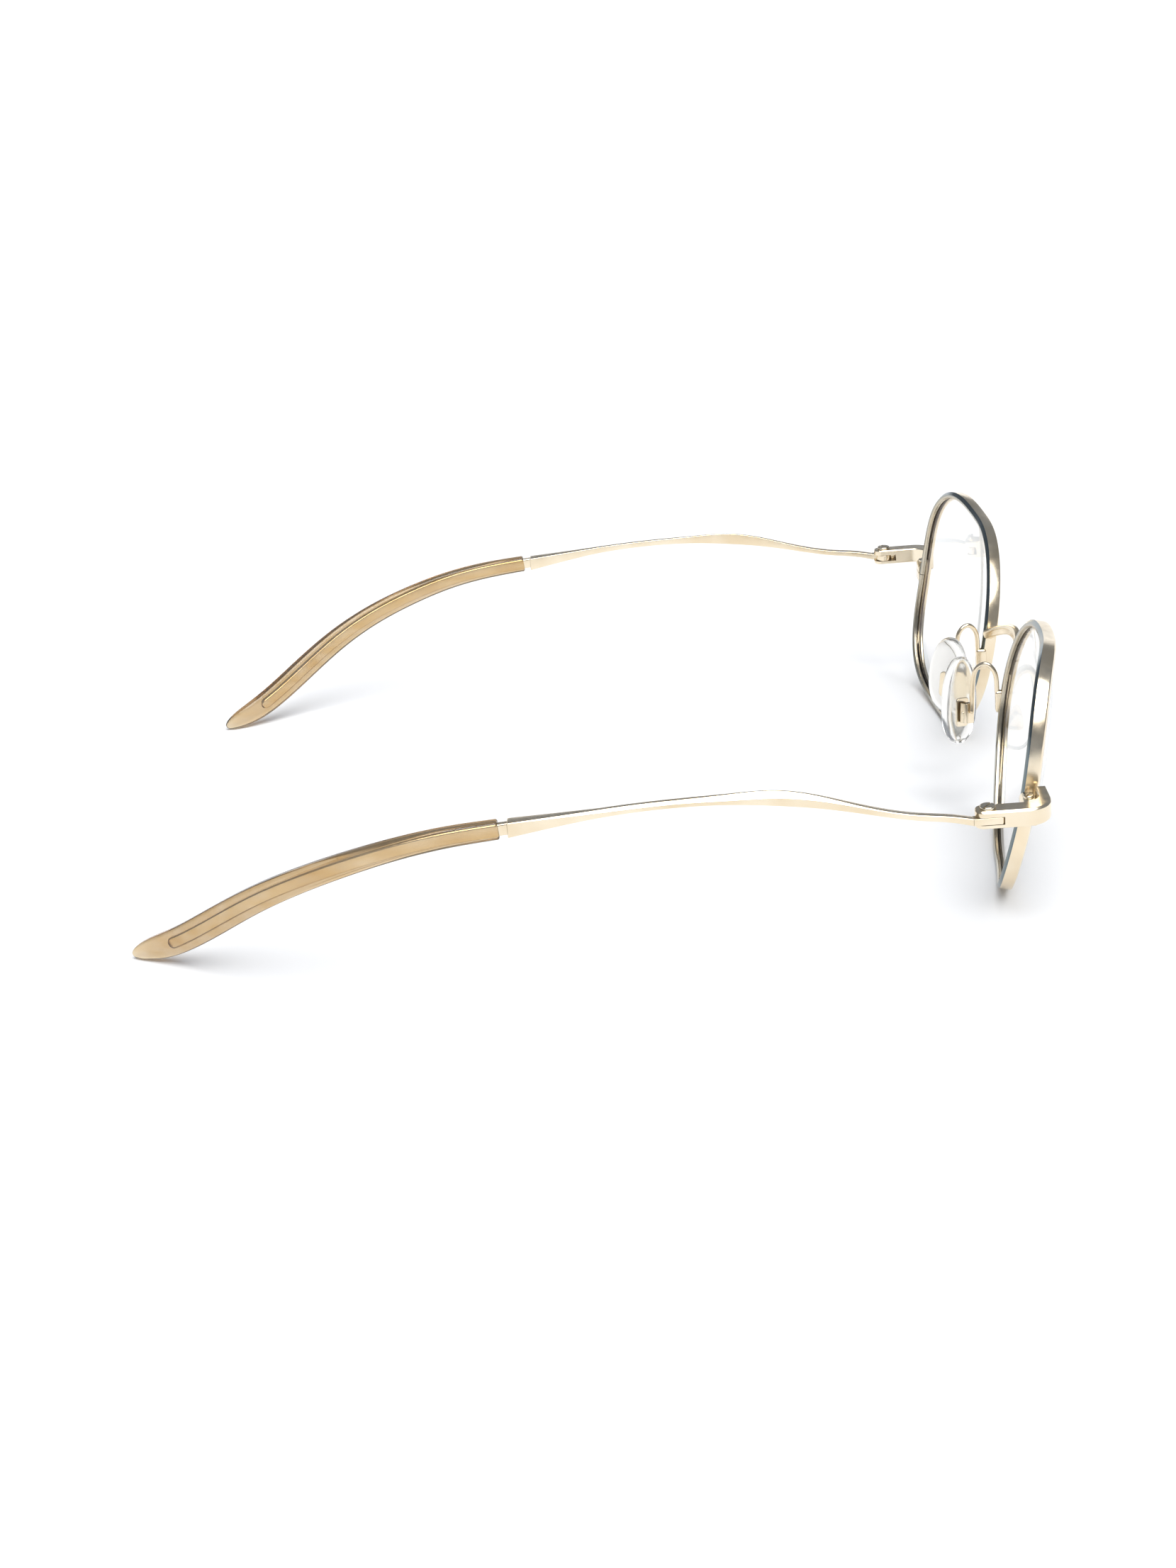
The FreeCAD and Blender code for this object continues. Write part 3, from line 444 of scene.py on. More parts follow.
def clear_silicone(colours):
    """Moulded clear silicone: soft, slightly hazy and tacky, so its highlights are broad and its edges milky."""
    material, tree, where = new_material("Moulded clear silicone")
    if tree:
        haze = add(tree, "ShaderNodeTexNoise", {"Vector": where, "Scale": per_mm(1.2), "Detail": 3.0})
        gloss = add(tree, "ShaderNodeMapRange", {
            "Value": haze.outputs["Fac"], "From Min": 0.3, "From Max": 0.7, "To Min": 0.06, "To Max": 0.16})
        relief = add(tree, "ShaderNodeBump", {
            "Height": haze.outputs["Fac"], "Strength": 0.06, "Distance": 0.04 * MM})
        shader = add(tree, "ShaderNodeBsdfPrincipled", {
            "Base Color": linear(colours.silicone), "Roughness": gloss.outputs[0], "IOR": 1.41,
            "Transmission Weight": 0.97, "Normal": relief.outputs[0]})
        add(tree, "ShaderNodeOutputMaterial", {"Surface": shader.outputs[0]})
    return material


def white_card(colours):
    """Smooth matt white card, with the slight tooth of its paper."""
    material, tree, where = new_material("Matt white card")
    if tree:
        tooth = add(tree, "ShaderNodeTexNoise", {"Vector": where, "Scale": per_mm(2), "Detail": 4.0})
        gloss = add(tree, "ShaderNodeMapRange", {"Value": tooth.outputs["Fac"], "To Min": 0.7, "To Max": 0.9})
        shader = add(tree, "ShaderNodeBsdfPrincipled", {
            "Base Color": linear(colours.floor), "Roughness": gloss.outputs[0]})
        add(tree, "ShaderNodeOutputMaterial", {"Surface": shader.outputs[0]})
    return material


# ------------------------------------------------------------------ rims and lenses


def lens_radius(angle):
    """The lens opening's polar radius is a mean plus waves of the angle, which runs from the temple side up over
    the brow: widening, nasal fullness, brow lift, squareness, lean and cheek."""
    return (
        21.5 + 2.1 * np.cos(2 * angle) - 0.7 * np.cos(3 * angle) + 0.5 * np.sin(3 * angle)
        - 0.55 * np.cos(4 * angle) - 0.2 * np.sin(4 * angle) - 0.3 * np.cos(5 * angle)
    )


def lens_outline(angle, grow):
    """Points at an angle on the lens opening, moved outwards across its edge by a distance. The outward direction
    is square to the line between two points of the edge just before and just after."""
    step = 1e-4

    def edge(at):
        radius = lens_radius(at)
        return np.stack([radius * np.cos(at), radius * np.sin(at)], axis=-1)

    run = unit(edge(angle + step) - edge(angle - step))
    return edge(angle) + np.stack([run[..., 1], -run[..., 0]], axis=-1) * np.asarray(grow)[..., None]


def on_face(flat, depth):
    """Points of the lens plane laid on the sphere that stands a depth in front of the rim's back, and turned to
    where the left lens sits. All these spheres share one centre, behind the lens by the face curve."""
    x, z = flat[..., 0], flat[..., 1]
    y = FACE_CURVE - np.sqrt((FACE_CURVE + depth) ** 2 - x**2 - z**2)
    return np.stack([x, y, z], axis=-1) @ LENS_TURN + np.array([LENS_SPACING / 2, 0, 0])


class EYEWEAR_OT_rims(bpy.types.Operator):
    """Makes both rims: a grooved and bevelled section carried round the lens outline and cut at the closing block."""

    bl_idname = "eyewear.rims"
    bl_label = "Rims"

    def execute(self, context):
        sizes = context.scene.eyewear_sizes
        wall, depth, bevel = sizes.rim_wall / MM, sizes.rim_depth / MM, sizes.rim_bevel / MM
        groove, groove_half = 0.52, 0.66
        groove_back, groove_front = depth / 2 - groove_half, depth / 2 + groove_half
        ease_across, ease_deep = 0.12, 0.1
        section, _ = rounded(
            [
                (0.0, ease_deep), (ease_across, 0.0), (wall - bevel, 0.0), (wall, bevel), (wall, depth), (0.0, depth),
                (0.0, groove_front), (groove, groove_front), (groove, groove_back), (0.0, groove_back),
            ],
            [0.05, 0.05, 0.08, 0.08, 0.18, 0.14, 0.04, 0.04, 0.04, 0.04],
            steps=4,
        )
        # The saw cut that the closing screw draws together is a little below the lens's own middle.
        cut_low, cut_high = -0.0063, -0.0009
        angle = np.linspace(cut_high, 2 * np.pi + cut_low, 361)[:, None]
        rows = on_face(lens_outline(angle, section[None, :, 0]), section[None, :, 1])
        # A dark reflection is painted over the bevel, full at its outer side and fading to the faintest share over
        # the narrow back face.
        faintest_paint = 0.35
        across = (section[:, 0] - 0.1) / (wall - bevel)
        smoked = np.clip(across, faintest_paint, 1) * (section[:, 1] < bevel)
        smoked = np.broadcast_to(smoked, rows.shape[:2])
        metal = champagne_plating(context.scene.eyewear_colours)
        make_pair("Rim", [rows], "front", "champagne_metal", ["rim_{}"], metal, smoked=smoked)
        return {"FINISHED"}


class EYEWEAR_OT_lenses(bpy.types.Operator):
    """Makes both demo lenses: two curved faces joined by an edge that sits in the rim's groove."""

    bl_idname = "eyewear.lenses"
    bl_label = "Lenses"

    def execute(self, context):
        edge_reach, thick, back = 0.45, 1.2, 0.6
        rings, smallest = 12, 0.03
        share = np.linspace(smallest, 1.0, rings)
        share = np.concatenate([share, share[::-1]])[:, None]
        depth = np.repeat([back + thick, back], rings)[:, None]
        angle = np.linspace(0, 2 * np.pi, 144, endpoint=False)[None]
        flat = lens_outline(angle, edge_reach) * share[..., None]
        resin = demo_lens(context.scene.eyewear_colours)
        make_pair("Lens", [on_face(flat, depth)], "front", "demo_lens", ["lens_{}"], resin)
        return {"FINISHED"}


# ------------------------------------------------------------------ bridge


class EYEWEAR_OT_bridge(bpy.types.Operator):
    """Makes the bridge: a flat bar carried along a smooth arch, spread a little where it is soldered to each rim."""

    bl_idname = "eyewear.bridge"
    bl_label = "Bridge"

    def execute(self, context):
        thick, high = 1.2, 1.9
        edge, rear_top_edge = 0.22, 0.95
        # The ends are a bite inside the rims and a lead in front of their edge, and the arch bows ahead and rises.
        bite, lead, level, bow, rise = 0.15, 1.24, 3.9, 3.2, 3.5
        half = np.array([(1.0, 0.0), (0.68, 0.5), (0.33, 0.88), (0.0, 1.0)])
        route = np.concatenate([half, half[-2::-1] * (-1, 1)])
        middle = np.stack([
            route[:, 0] * (RIM_NASAL_X + bite),
            NASAL_EDGE_Y - lead - route[:, 1] * bow,
            level + route[:, 1] * rise,
        ], axis=-1)
        path, _ = smooth_path(middle, 81)
        # The spread grows with the square of the way from 88 % of the half width to the rim.
        spread_from, widest = 0.88, 0.16
        near_end = np.clip((np.abs(path[:, 0]) / RIM_NASAL_X - spread_from) / (1 - spread_from), 0, 1)
        spread = (1 + widest * near_end**2)[:, None, None]
        outline = box(-thick / 2, thick / 2, -high / 2, high / 2)
        section, _ = rounded(outline, [edge, edge, rear_top_edge, edge], steps=9)
        side = np.tile([0.0, 1.0, 0.0], (len(path), 1))
        up = np.tile([0.0, 0.0, 1.0], (len(path), 1))
        rows = carried(path, side, up, section[None] * spread)
        metal = champagne_plating(context.scene.eyewear_colours)
        make_piece("Bridge", [rows], 1.0, "front", "champagne_metal", ["bridge"], metal)
        return {"FINISHED"}


# ------------------------------------------------------------------ closing blocks, end pieces and screws

# The closing block and its screw, with the cut between its halves.
BLOCK_OUT = 62.498
BLOCK_IN = 58.798
BLOCK_FRONT = 3.901
BLOCK_BACK = 6.101
BLOCK_TOP = 2.8
BLOCK_LOW = -1.3
CUT_TOP = 1.06
CUT_LOW = 0.94
CLOSING_SCREW = np.array([60.948, 5.001])

# The end piece's height, and the turn of each screw's driver slot.
END_PIECE_LOW = 1.2
END_PIECE_TOP = 4.05
SLOT_TURN = math.radians(35)


def half_disc(radius, gap, count=24):
    """Half of a round head beside its driver slot: an arc from one end of the slot to the other, closed by a chord.
    The arc starts where the sine of its angle is half the gap over the radius."""
    start = math.asin(gap / 2 / radius)
    angle = np.linspace(start, np.pi - start, count)
    points = radius * np.stack([np.cos(angle), np.sin(angle)], axis=-1)
    return points, points / radius


def slotted_head(centre, seat, bottom, head_radius, head_height, shaft_radius):
    """The shells of a slotted screw: its shaft and the washer-like base of its head in one turned stack, and the
    two domed halves above it on each side of the slot."""
    shaft_chamfer, head_chamfer, lap, driver_slot = 0.1, 0.04, 0.02, 0.3
    base_share, dome_share = 0.45, 0.4
    place = np.array([centre[0], centre[1], 0.0])
    base = seat + head_height * base_share
    heights = np.array([bottom, bottom + shaft_chamfer, seat - lap, seat - lap, seat + head_chamfer, base])
    radii = np.array([
        shaft_radius - shaft_chamfer, shaft_radius, shaft_radius, head_radius - head_chamfer, head_radius,
        head_radius])
    shells = [slab(oval(2.0, 2.0), heights[:, None], 1 - radii[:, None], centre=place)]
    heights, insets = soft_edges(base - lap, seat + head_height, 0.0, head_height * dome_share)
    for flip in (0.0, math.pi):
        shells.append(slab(
            half_disc(head_radius, driver_slot), heights, insets, axes=turn("Z", SLOT_TURN + flip), centre=place))
    return shells


class EYEWEAR_OT_closing_blocks(bpy.types.Operator):
    """Makes the two halves of each closing block and the screw that draws them together."""

    bl_idname = "eyewear.closing_blocks"
    bl_label = "Closing Blocks"

    def execute(self, context):
        colours = context.scene.eyewear_colours
        metal, bright = champagne_plating(colours), polished_screw(colours)
        halves = {
            "upper": rounded(box(BLOCK_FRONT, BLOCK_BACK, CUT_TOP, BLOCK_TOP), [0.1, 0.1, 0.95, 0.2]),
            "lower": rounded(box(BLOCK_FRONT, BLOCK_BACK, BLOCK_LOW, CUT_LOW), [0.3, 0.45, 0.1, 0.1]),
        }
        for half, outline in halves.items():
            rows = slab(outline, *soft_edges(BLOCK_IN, BLOCK_OUT, 0.1, 0.14), axes=ALONG_X)
            title, nodes = f"Closing_block_{half.capitalize()}", [f"closing_block_{half}_{{}}"]
            make_pair(title, [rows], "front", "champagne_metal", nodes, metal)
        shells = slotted_head(
            CLOSING_SCREW, BLOCK_TOP, BLOCK_LOW, head_radius=0.8, head_height=0.4, shaft_radius=0.4)
        make_pair("Closing_screw", shells, "front", "screw_steel", ["closing_screw_{}"], bright)
        return {"FINISHED"}


class EYEWEAR_OT_end_pieces(bpy.types.Operator):
    """Makes the bent end pieces: a bar with a chamfered outer top edge, opened behind into the two hinge ears."""

    bl_idname = "eyewear.end_pieces"
    bl_label = "End Pieces"

    def execute(self, context):
        thick, block_lap, ears_reach = 1.6, 1.2, 1.9
        edge, outer_bend, inner_bend, ear_round = 0.1, 4.0, 2.7, 1.3
        front, root = BLOCK_FRONT - thick, BLOCK_IN + block_lap
        slot_front = HINGE[1] - TONGUE_AHEAD - SLOT_GAP
        slot_low, slot_high = TONGUE_LEVEL - TONGUE_HALF - SLOT_GAP, TONGUE_LEVEL + TONGUE_HALF + SLOT_GAP

        def plan(back, back_radius):
            """The end piece seen from above, as far back as is asked."""
            return rounded(
                [(root, front), (OUTER_FACE, front), (OUTER_FACE, back), (INNER_FACE, back),
                 (INNER_FACE, BLOCK_FRONT), (root, BLOCK_FRONT)],
                [edge, outer_bend, back_radius, back_radius, inner_bend, edge], steps=14)

        # The top edge's chamfer is wide where the wall faces outwards and narrow elsewhere.
        whole = plan(HINGE[1] + ears_reach, ear_round)
        faces_out = np.clip((whole[1][:, 0] - 0.15) / 0.5, 0, 1)
        chamfer = 0.1 + 0.16 * faces_out
        zero = np.zeros_like(chamfer)
        insets, heights = np.swapaxes([
            (zero, zero + slot_high),
            (zero, END_PIECE_TOP - chamfer - 0.08),
            (zero + 0.06, END_PIECE_TOP - chamfer + 0.02),
            (chamfer, zero + END_PIECE_TOP - 0.02),
            (chamfer + 0.05, zero + END_PIECE_TOP),
        ], 0, 1)
        upper = slab(whole, heights, insets)
        lower = slab(whole, *soft_edges(END_PIECE_LOW, slot_low, 0.38, 0.0))
        middle = slab(plan(slot_front, 0.05), *soft_edges(slot_low, slot_high, 0.0, 0.0, steps=1))
        metal = champagne_plating(context.scene.eyewear_colours)
        shells = [upper, lower, middle]
        make_pair("End_piece", shells, "front", "champagne_metal", ["endpiece_{}"], metal, crease=28.0)
        return {"FINISHED"}


class EYEWEAR_OT_hinge_screws(bpy.types.Operator):
    """Makes the slotted screws that the temples turn on."""

    bl_idname = "eyewear.hinge_screws"
    bl_label = "Hinge Screws"

    def execute(self, context):
        shells = slotted_head(
            HINGE, END_PIECE_TOP, END_PIECE_LOW, head_radius=1.2, head_height=0.5, shaft_radius=0.6)
        bright = polished_screw(context.scene.eyewear_colours)
        make_pair("Hinge_screw", shells, "front", "screw_steel", ["hinge_screw_{}"], bright)
        return {"FINISHED"}


# ------------------------------------------------------------------ temples and tips

# Side view of the metal temple: share of its length, rise of its middle above the tongue, height, and
# the facet on its outer top edge.
TEMPLE_PROFILE = np.array([
    (0.00, 0.0, 1.1, 0.06), (0.05, 0.75, 0.95, 0.06), (0.11, 1.3, 0.9, 0.08), (0.23, 3.1, 1.1, 0.2),
    (0.33, 4.9, 1.8, 0.6), (0.42, 5.95, 2.1, 0.9), (0.52, 6.3, 1.45, 0.75), (0.62, 6.3, 1.1, 0.5),
    (0.74, 5.95, 1.1, 0.45), (0.83, 5.4, 1.3, 0.35), (0.92, 4.7, 1.8, 0.2), (1.00, 4.05, 2.35, 0.06),
])

# Route of the tip: share of its length, and shares of its inward curve and of its drop.
TIP_ROUTE = np.array([
    (0.00, 0.00, 0.00), (0.12, 0.01, 0.03), (0.25, 0.03, 0.09), (0.38, 0.09, 0.185), (0.51, 0.19, 0.31),
    (0.64, 0.36, 0.48), (0.77, 0.60, 0.70), (0.90, 0.86, 0.90), (0.965, 0.96, 0.965), (1.00, 1.00, 1.00),
])
TIP_INWARD = 16.6
TIP_DROP = 24.0

# Section of the tip before it closes: share of its length, height and width.
TIP_SECTION = np.array([
    (0.00, 2.9, 2.3), (0.12, 3.1, 2.3), (0.25, 3.3, 2.3), (0.38, 3.6, 2.3), (0.51, 3.9, 2.3),
    (0.64, 4.25, 2.35), (0.77, 4.5, 2.4), (0.90, 4.2, 2.4),
])

# How far the core's middle lies inside the temple's outer face, and the bare core ahead of the tip.
CORE_INSET = 1.0
BARE_CORE = 1.3


def tip_line(share):
    """The tip's centre line at shares of its length, with its side and up directions: the up direction is square to
    the line and to a level side."""
    bend = spline(TIP_ROUTE[:, 0], TIP_ROUTE[:, 1:], share)
    line = np.stack([
        OUTER_FACE - CORE_INSET - TIP_INWARD * bend[:, 0],
        HINGE[1] + TEMPLE_LENGTH + BARE_CORE + TIP_LENGTH * share,
        TONGUE_LEVEL + TEMPLE_PROFILE[-1, 1] - TIP_DROP * bend[:, 1],
    ], axis=-1)
    along = unit(np.gradient(line, axis=0))
    side = unit(np.cross(along, [0.0, 0.0, 1.0]))
    return line, side, np.cross(side, along)


def hinge_eye():
    """The flat tongue that runs into the end piece's slot and widens to the eye round the hinge screw."""
    across, along = HINGE
    front, back = along - TONGUE_AHEAD, along + TONGUE_BEHIND
    eye_front, eye_back = along - HINGE_RADIUS, along + HINGE_RADIUS
    neck = across + 0.05
    outline = rounded(
        [(OUTER_FACE, front), (OUTER_FACE, back), (neck, back), (neck, eye_back), (INNER_FACE, eye_back),
         (INNER_FACE, eye_front), (across, eye_front), (across, front)],
        [0.4, 0.05, 0.05, 0.02, 1.4, 1.4, 0.02, 0.3], steps=10)
    return slab(outline, *soft_edges(TONGUE_LEVEL - TONGUE_HALF, TONGUE_LEVEL + TONGUE_HALF, 0.08, 0.08))


def humped_bar(thickness):
    """The metal temple: its five-sided section follows the profile from just behind the hinge, swells on its inner
    side over the last fifth, and ends in a quarter round."""
    starts, end_round = 2.2, 0.14
    t = np.linspace(0, np.pi / 2, 5)
    share = np.linspace(0, 1, 150)
    run = HINGE[1] + starts + share * (TEMPLE_LENGTH - starts)
    run = np.concatenate([run[:-1], run[-1] - end_round + end_round * np.sin(t)])
    inset = np.concatenate([np.zeros_like(share[:-1]), end_round * (1 - np.cos(t))])
    share = np.concatenate([share[:-1], np.ones_like(t)])

    rise, height, facet = spline(TEMPLE_PROFILE[:, 0], TEMPLE_PROFILE[:, 1:], share).T
    facet = np.maximum(facet, 0.05)
    most_swell, swell_run = 1.05, 0.2
    swell = most_swell * np.clip(1 - (1 - share) / swell_run, 0, 1)
    outer = np.full_like(share, OUTER_FACE)
    inner = outer - thickness - swell
    middle = TONGUE_LEVEL + rise
    low, high = middle - height / 2, middle + height / 2
    corners = np.moveaxis(
        np.array([(inner, low), (outer, low), (outer, high - facet), (outer - facet, high), (inner, high)]), -1, 0)
    edge, facet_edge = np.full_like(facet, 0.14), np.minimum(0.12, facet * 0.45)
    points, normals = rounded(corners, np.stack([edge, edge, facet_edge, facet_edge, edge], axis=-1))
    section = points - normals * inset[:, None, None]
    run = np.broadcast_to(run[:, None], section.shape[:2])
    return np.stack([section[..., 0], run, section[..., 1]], axis=-1)


def flat_core():
    """The blade inside the tip. It starts ahead of the sleeve and closes in a round nose one millimetre long, where
    its height falls as the square root of one less the square of the way along."""
    ahead, nose_from = -1.7, 53.0
    half_thick, half_high, edge = 0.6, 0.95, 0.28
    nose = np.sin(np.linspace(0, 0.497 * np.pi, 9))
    run = np.concatenate([np.linspace(ahead, nose_from, 100), nose_from + nose[1:]])
    line, side, up = tip_line(run / TIP_LENGTH)
    blade, _ = rounded(box(-half_thick, half_thick, -half_high, half_high), edge)
    taper = np.sqrt(1 - np.clip(run - nose_from, 0, 1) ** 2)
    return carried(line, side, up, blade[None] * np.stack([taper**0.3, taper], axis=-1)[:, None])


class EYEWEAR_OT_temples(bpy.types.Operator):
    """Makes the metal temples: the hinge eye, the humped bar with its growing and fading facet, and the flat core
    that runs on inside the tip."""

    bl_idname = "eyewear.temples"
    bl_label = "Temples"

    def execute(self, context):
        thickness = context.scene.eyewear_sizes.temple_thickness / MM
        shells = [hinge_eye(), humped_bar(thickness), flat_core()]
        metal = champagne_plating(context.scene.eyewear_colours)
        make_pair("Temple", shells, "temple_{}", "champagne_metal", ["temple_{}"], metal, crease=24.0)
        return {"FINISHED"}


class EYEWEAR_OT_temple_tips(bpy.types.Operator):
    """Makes the crystal acetate tips: a squared oval sleeve that follows the route and closes in a rounded end."""

    bl_idname = "eyewear.temple_tips"
    bl_label = "Temple Tips"

    def execute(self, context):
        mouth_round, closes_from, holds_from, last_share = 0.35, 0.86, 0.88, 0.999
        t = np.linspace(0, np.pi / 2, 6)
        mouth = mouth_round * (1 - np.cos(t)) / TIP_LENGTH
        closing_run = (last_share - closes_from) * np.sin(np.linspace(0, np.pi / 2, 26))
        share = np.concatenate([
            mouth, np.linspace(mouth[-1], closes_from, 120)[1:], closes_from + closing_run[1:]])
        inset = np.zeros_like(share)
        inset[:len(t)] = mouth_round * (1 - np.sin(t))
        line, side, up = tip_line(share)
        height, width = spline(TIP_SECTION[:, 0], TIP_SECTION[:, 1:], np.minimum(share, holds_from)).T
        # The end closes by the square root of one less the square of the way along, and stops just before its last
        # point. Its width closes a little later than its height.
        closing = np.sqrt(1 - np.clip((share - closes_from) / (1 - closes_from), 0, 0.996) ** 2)
        points, normals = oval(width * closing**0.8, height * closing, squareness=4.0, count=80)
        rows = carried(line, side, up, points - normals * inset[:, None, None])
        acetate = crystal_acetate(context.scene.eyewear_colours)
        make_pair("Temple_tip", [rows], "temple_{}", "crystal_acetate", ["temple_tip_{}"], acetate)
        return {"FINISHED"}


# ------------------------------------------------------------------ pad arms, holders and nose pads

# The pad arm's soldered foot, the point where the wire leaves it, and how far in and back the holder stands.
FOOT_WIDTH = 1.3
FOOT_DEPTH = 1.8
FOOT_IN = RIM_NASAL_X + 0.45 - FOOT_WIDTH
FOOT_FRONT = NASAL_EDGE_Y - 0.94
FOOT_TOP = 1.3
FOOT_X = FOOT_IN + FOOT_WIDTH / 2
FOOT_Y = FOOT_FRONT + 1.4
REACH_IN = 2.4
REACH_BACK = 4.8
HOLDER = np.array([FOOT_X - REACH_IN, FOOT_Y + REACH_BACK, FOOT_TOP - 4.6])

# How the pad and its holder are turned, and how far in front of the holder's middle the plate and the pad begin.
PAD_TURN = turn("Y", math.radians(-14)) @ turn("Z", math.radians(-35)) @ turn("X", math.radians(12))
PLATE_BACK = 1.1
PAD_BACK = 1.15


def at_holder(rows):
    """Points drawn about the holder, with -X towards the nose, Y across the pad and Z along it."""
    return rows @ PAD_TURN + HOLDER


class EYEWEAR_OT_pad_arms(bpy.types.Operator):
    """Makes the pad arms: a wire bent up and over from its soldered foot to the back of the pad's holder."""

    bl_idname = "eyewear.pad_arms"
    bl_label = "Pad Arms"

    def execute(self, context):
        radius = context.scene.eyewear_sizes.wire_radius / MM
        # The arch in shares of its reach back, its reach in and its height, and the straight landing on the holder.
        arch_height = 4.7
        arch = np.array([
            (0.00, 0.00, -0.25), (0.02, 0.00, 0.20), (0.10, 0.04, 0.72), (0.38, 0.20, 1.00), (0.66, 0.38, 0.86),
            (0.80, 0.50, 0.45)])
        bend = np.stack([
            FOOT_X - REACH_IN * arch[:, 1], FOOT_Y + REACH_BACK * arch[:, 0], FOOT_TOP + arch_height * arch[:, 2],
        ], axis=-1)
        behind, landing_length = 1.05, 2.4
        landing = at_holder(np.array([(behind, 0.0, landing_length), (behind, 0.0, 0.0)]))
        path, along = smooth_path(np.concatenate([bend, landing]), 120)
        square_to_reach = [0.89, 0.45, 0.0]
        side = unit(np.cross(along, square_to_reach))
        up = np.cross(side, along)
        ring, _ = oval(2 * radius, 2 * radius, count=24)
        # Only the last two rings are drawn in, to round off the wire's end.
        nose = np.sqrt(1 - np.clip(np.linspace(-60, 1, 120), 0, 0.98) ** 2)
        wire = carried(path, side, up, ring[None] * nose[:, None, None])
        plan = box(FOOT_IN, FOOT_IN + FOOT_WIDTH, FOOT_FRONT, FOOT_FRONT + FOOT_DEPTH)
        foot = slab(rounded(plan, [0.35, 0.2, 0.2, 0.4]), *soft_edges(-2.5, FOOT_TOP, 0.35, 0.45))
        metal = champagne_plating(context.scene.eyewear_colours)
        make_pair("Pad_arm", [wire, foot], "front", "champagne_metal", ["pad_arm_{}"], metal)
        return {"FINISHED"}


class EYEWEAR_OT_pad_holders(bpy.types.Operator):
    """Makes each pad's channel-shaped holder, the screw across it, and the plate and lug that it holds."""

    bl_idname = "eyewear.pad_holders"
    bl_label = "Pad Holders"

    def execute(self, context):
        colours = context.scene.eyewear_colours
        metal, bright = champagne_plating(colours), polished_screw(colours)
        deep, wide, half_long, wall = 0.75, 1.0, 1.7, 0.4
        web, cheek = deep - wall, wide - wall
        channel = rounded(
            [(deep, -wide), (deep, wide), (-deep, wide), (-deep, cheek), (web, cheek), (web, -cheek),
             (-deep, -cheek), (-deep, -wide)],
            [0.3, 0.3, 0.1, 0.1, 0.12, 0.12, 0.1, 0.1])
        holder = at_holder(slab(channel, *soft_edges(-half_long, half_long, 0.08, 0.08)))
        make_pair("Pad_holder", [holder], "front", "champagne_metal", ["pad_box_{}"], metal)

        pivot = (-0.15, 0, 0)
        pin = slab(oval(0.6, 0.6), *soft_edges(-1.15, 1.15, 0.1, 0.1), axes=ALONG_Y, centre=pivot)
        make_pair("Pad_screw", [at_holder(pin)], "front", "screw_steel", ["pad_screw_{}"], bright)

        lug_half = 0.5
        lug_span = soft_edges(-lug_half, lug_half, 0.05, 0.05)
        lug = slab(oval(0.9, 0.9), *lug_span, axes=ALONG_Y, centre=pivot)
        stem = slab(rounded(box(-1.2, -0.2, -0.45, 0.45), 0.05), *lug_span, axes=UPRIGHT)
        plate = slab(
            rounded(box(-1.4, 1.4, -2.5, 2.5), 0.7), *soft_edges(-1.7, -PLATE_BACK, 0.12, 0.12), axes=ALONG_X)
        shells = [at_holder(rows) for rows in (lug, stem, plate)]
        make_pair("Pad_plate", shells, "pad_{}", "champagne_metal", ["pad_insert_{}"], metal)
        return {"FINISHED"}


class EYEWEAR_OT_nose_pads(bpy.types.Operator):
    """Makes the nose pads: an oval, slightly narrower above, with a softly rounded back edge and a domed front."""

    bl_idname = "eyewear.nose_pads"
    bl_label = "Nose Pads"

    def execute(self, context):
        thick = context.scene.eyewear_sizes.pad_thickness / MM
        wide, long, narrowing, centre_up, crown = 7.4, 15.0, 0.010, 2.0, 0.35
        points, normals = oval(wide, long, squareness=2.15, count=96)
        points = points * np.stack([1 - narrowing * points[:, 1], np.ones(len(points))], axis=-1)
        heights, insets = soft_edges(0.0, thick - crown, 0.8, 1.35, steps=9)
        edge = points - normals * insets[..., None]
        # Smaller and smaller rings close the flat back, and the front, which rises by the crown to its middle.
        share = np.linspace(1, 0.04, 12)[1:, None]
        flat = np.concatenate([edge[0] * share[::-1, :, None], edge, edge[-1] * share[..., None]])
        height = np.concatenate([np.zeros_like(share), heights, thick - crown + crown * (1 - share**2)])
        height = np.broadcast_to(height, flat.shape[:2])
        rows = np.stack([-PAD_BACK - height, flat[..., 0], flat[..., 1] + centre_up], axis=-1)
        silicone = clear_silicone(context.scene.eyewear_colours)
        make_pair("Nose_pad", [at_holder(rows)], "pad_{}", "clear_silicone", ["nose_pad_{}"], silicone)
        return {"FINISHED"}


# ------------------------------------------------------------------ stage


def lay_card(scene):
    """A white card that runs flat under the frame and rises behind it. Past the foot of the sweep, the rise is its
    full height times one less the cosine of a right angle's share."""
    columns, steps = 25, 81
    half_width, near, far = 9.0, -4.0, 16.0
    sweep_from, sweep_run, full_rise = 9.0, 6.0, 3.0
    across, run = np.meshgrid(
        np.linspace(-half_width, half_width, columns), np.linspace(near, far, steps), indexing="ij")
    rise = full_rise * (1 - np.cos(np.clip((run - sweep_from) / sweep_run, 0, 1) * np.pi / 2))
    points = np.stack([run, across, rise], axis=-1).reshape(-1, 3)
    corner = (np.arange(columns - 1)[:, None] * steps + np.arange(steps - 1)[None]).ravel()
    faces = np.stack([corner + steps, corner + steps + 1, corner + 1, corner], axis=-1)
    mesh = bpy.data.meshes.new("Card")
    mesh.from_pydata(points, [], faces.tolist())
    mesh.shade_smooth()
    mesh.materials.append(white_card(scene.eyewear_colours))
    card = bpy.data.objects.new("Card", mesh)
    scene.collection.objects.link(card)


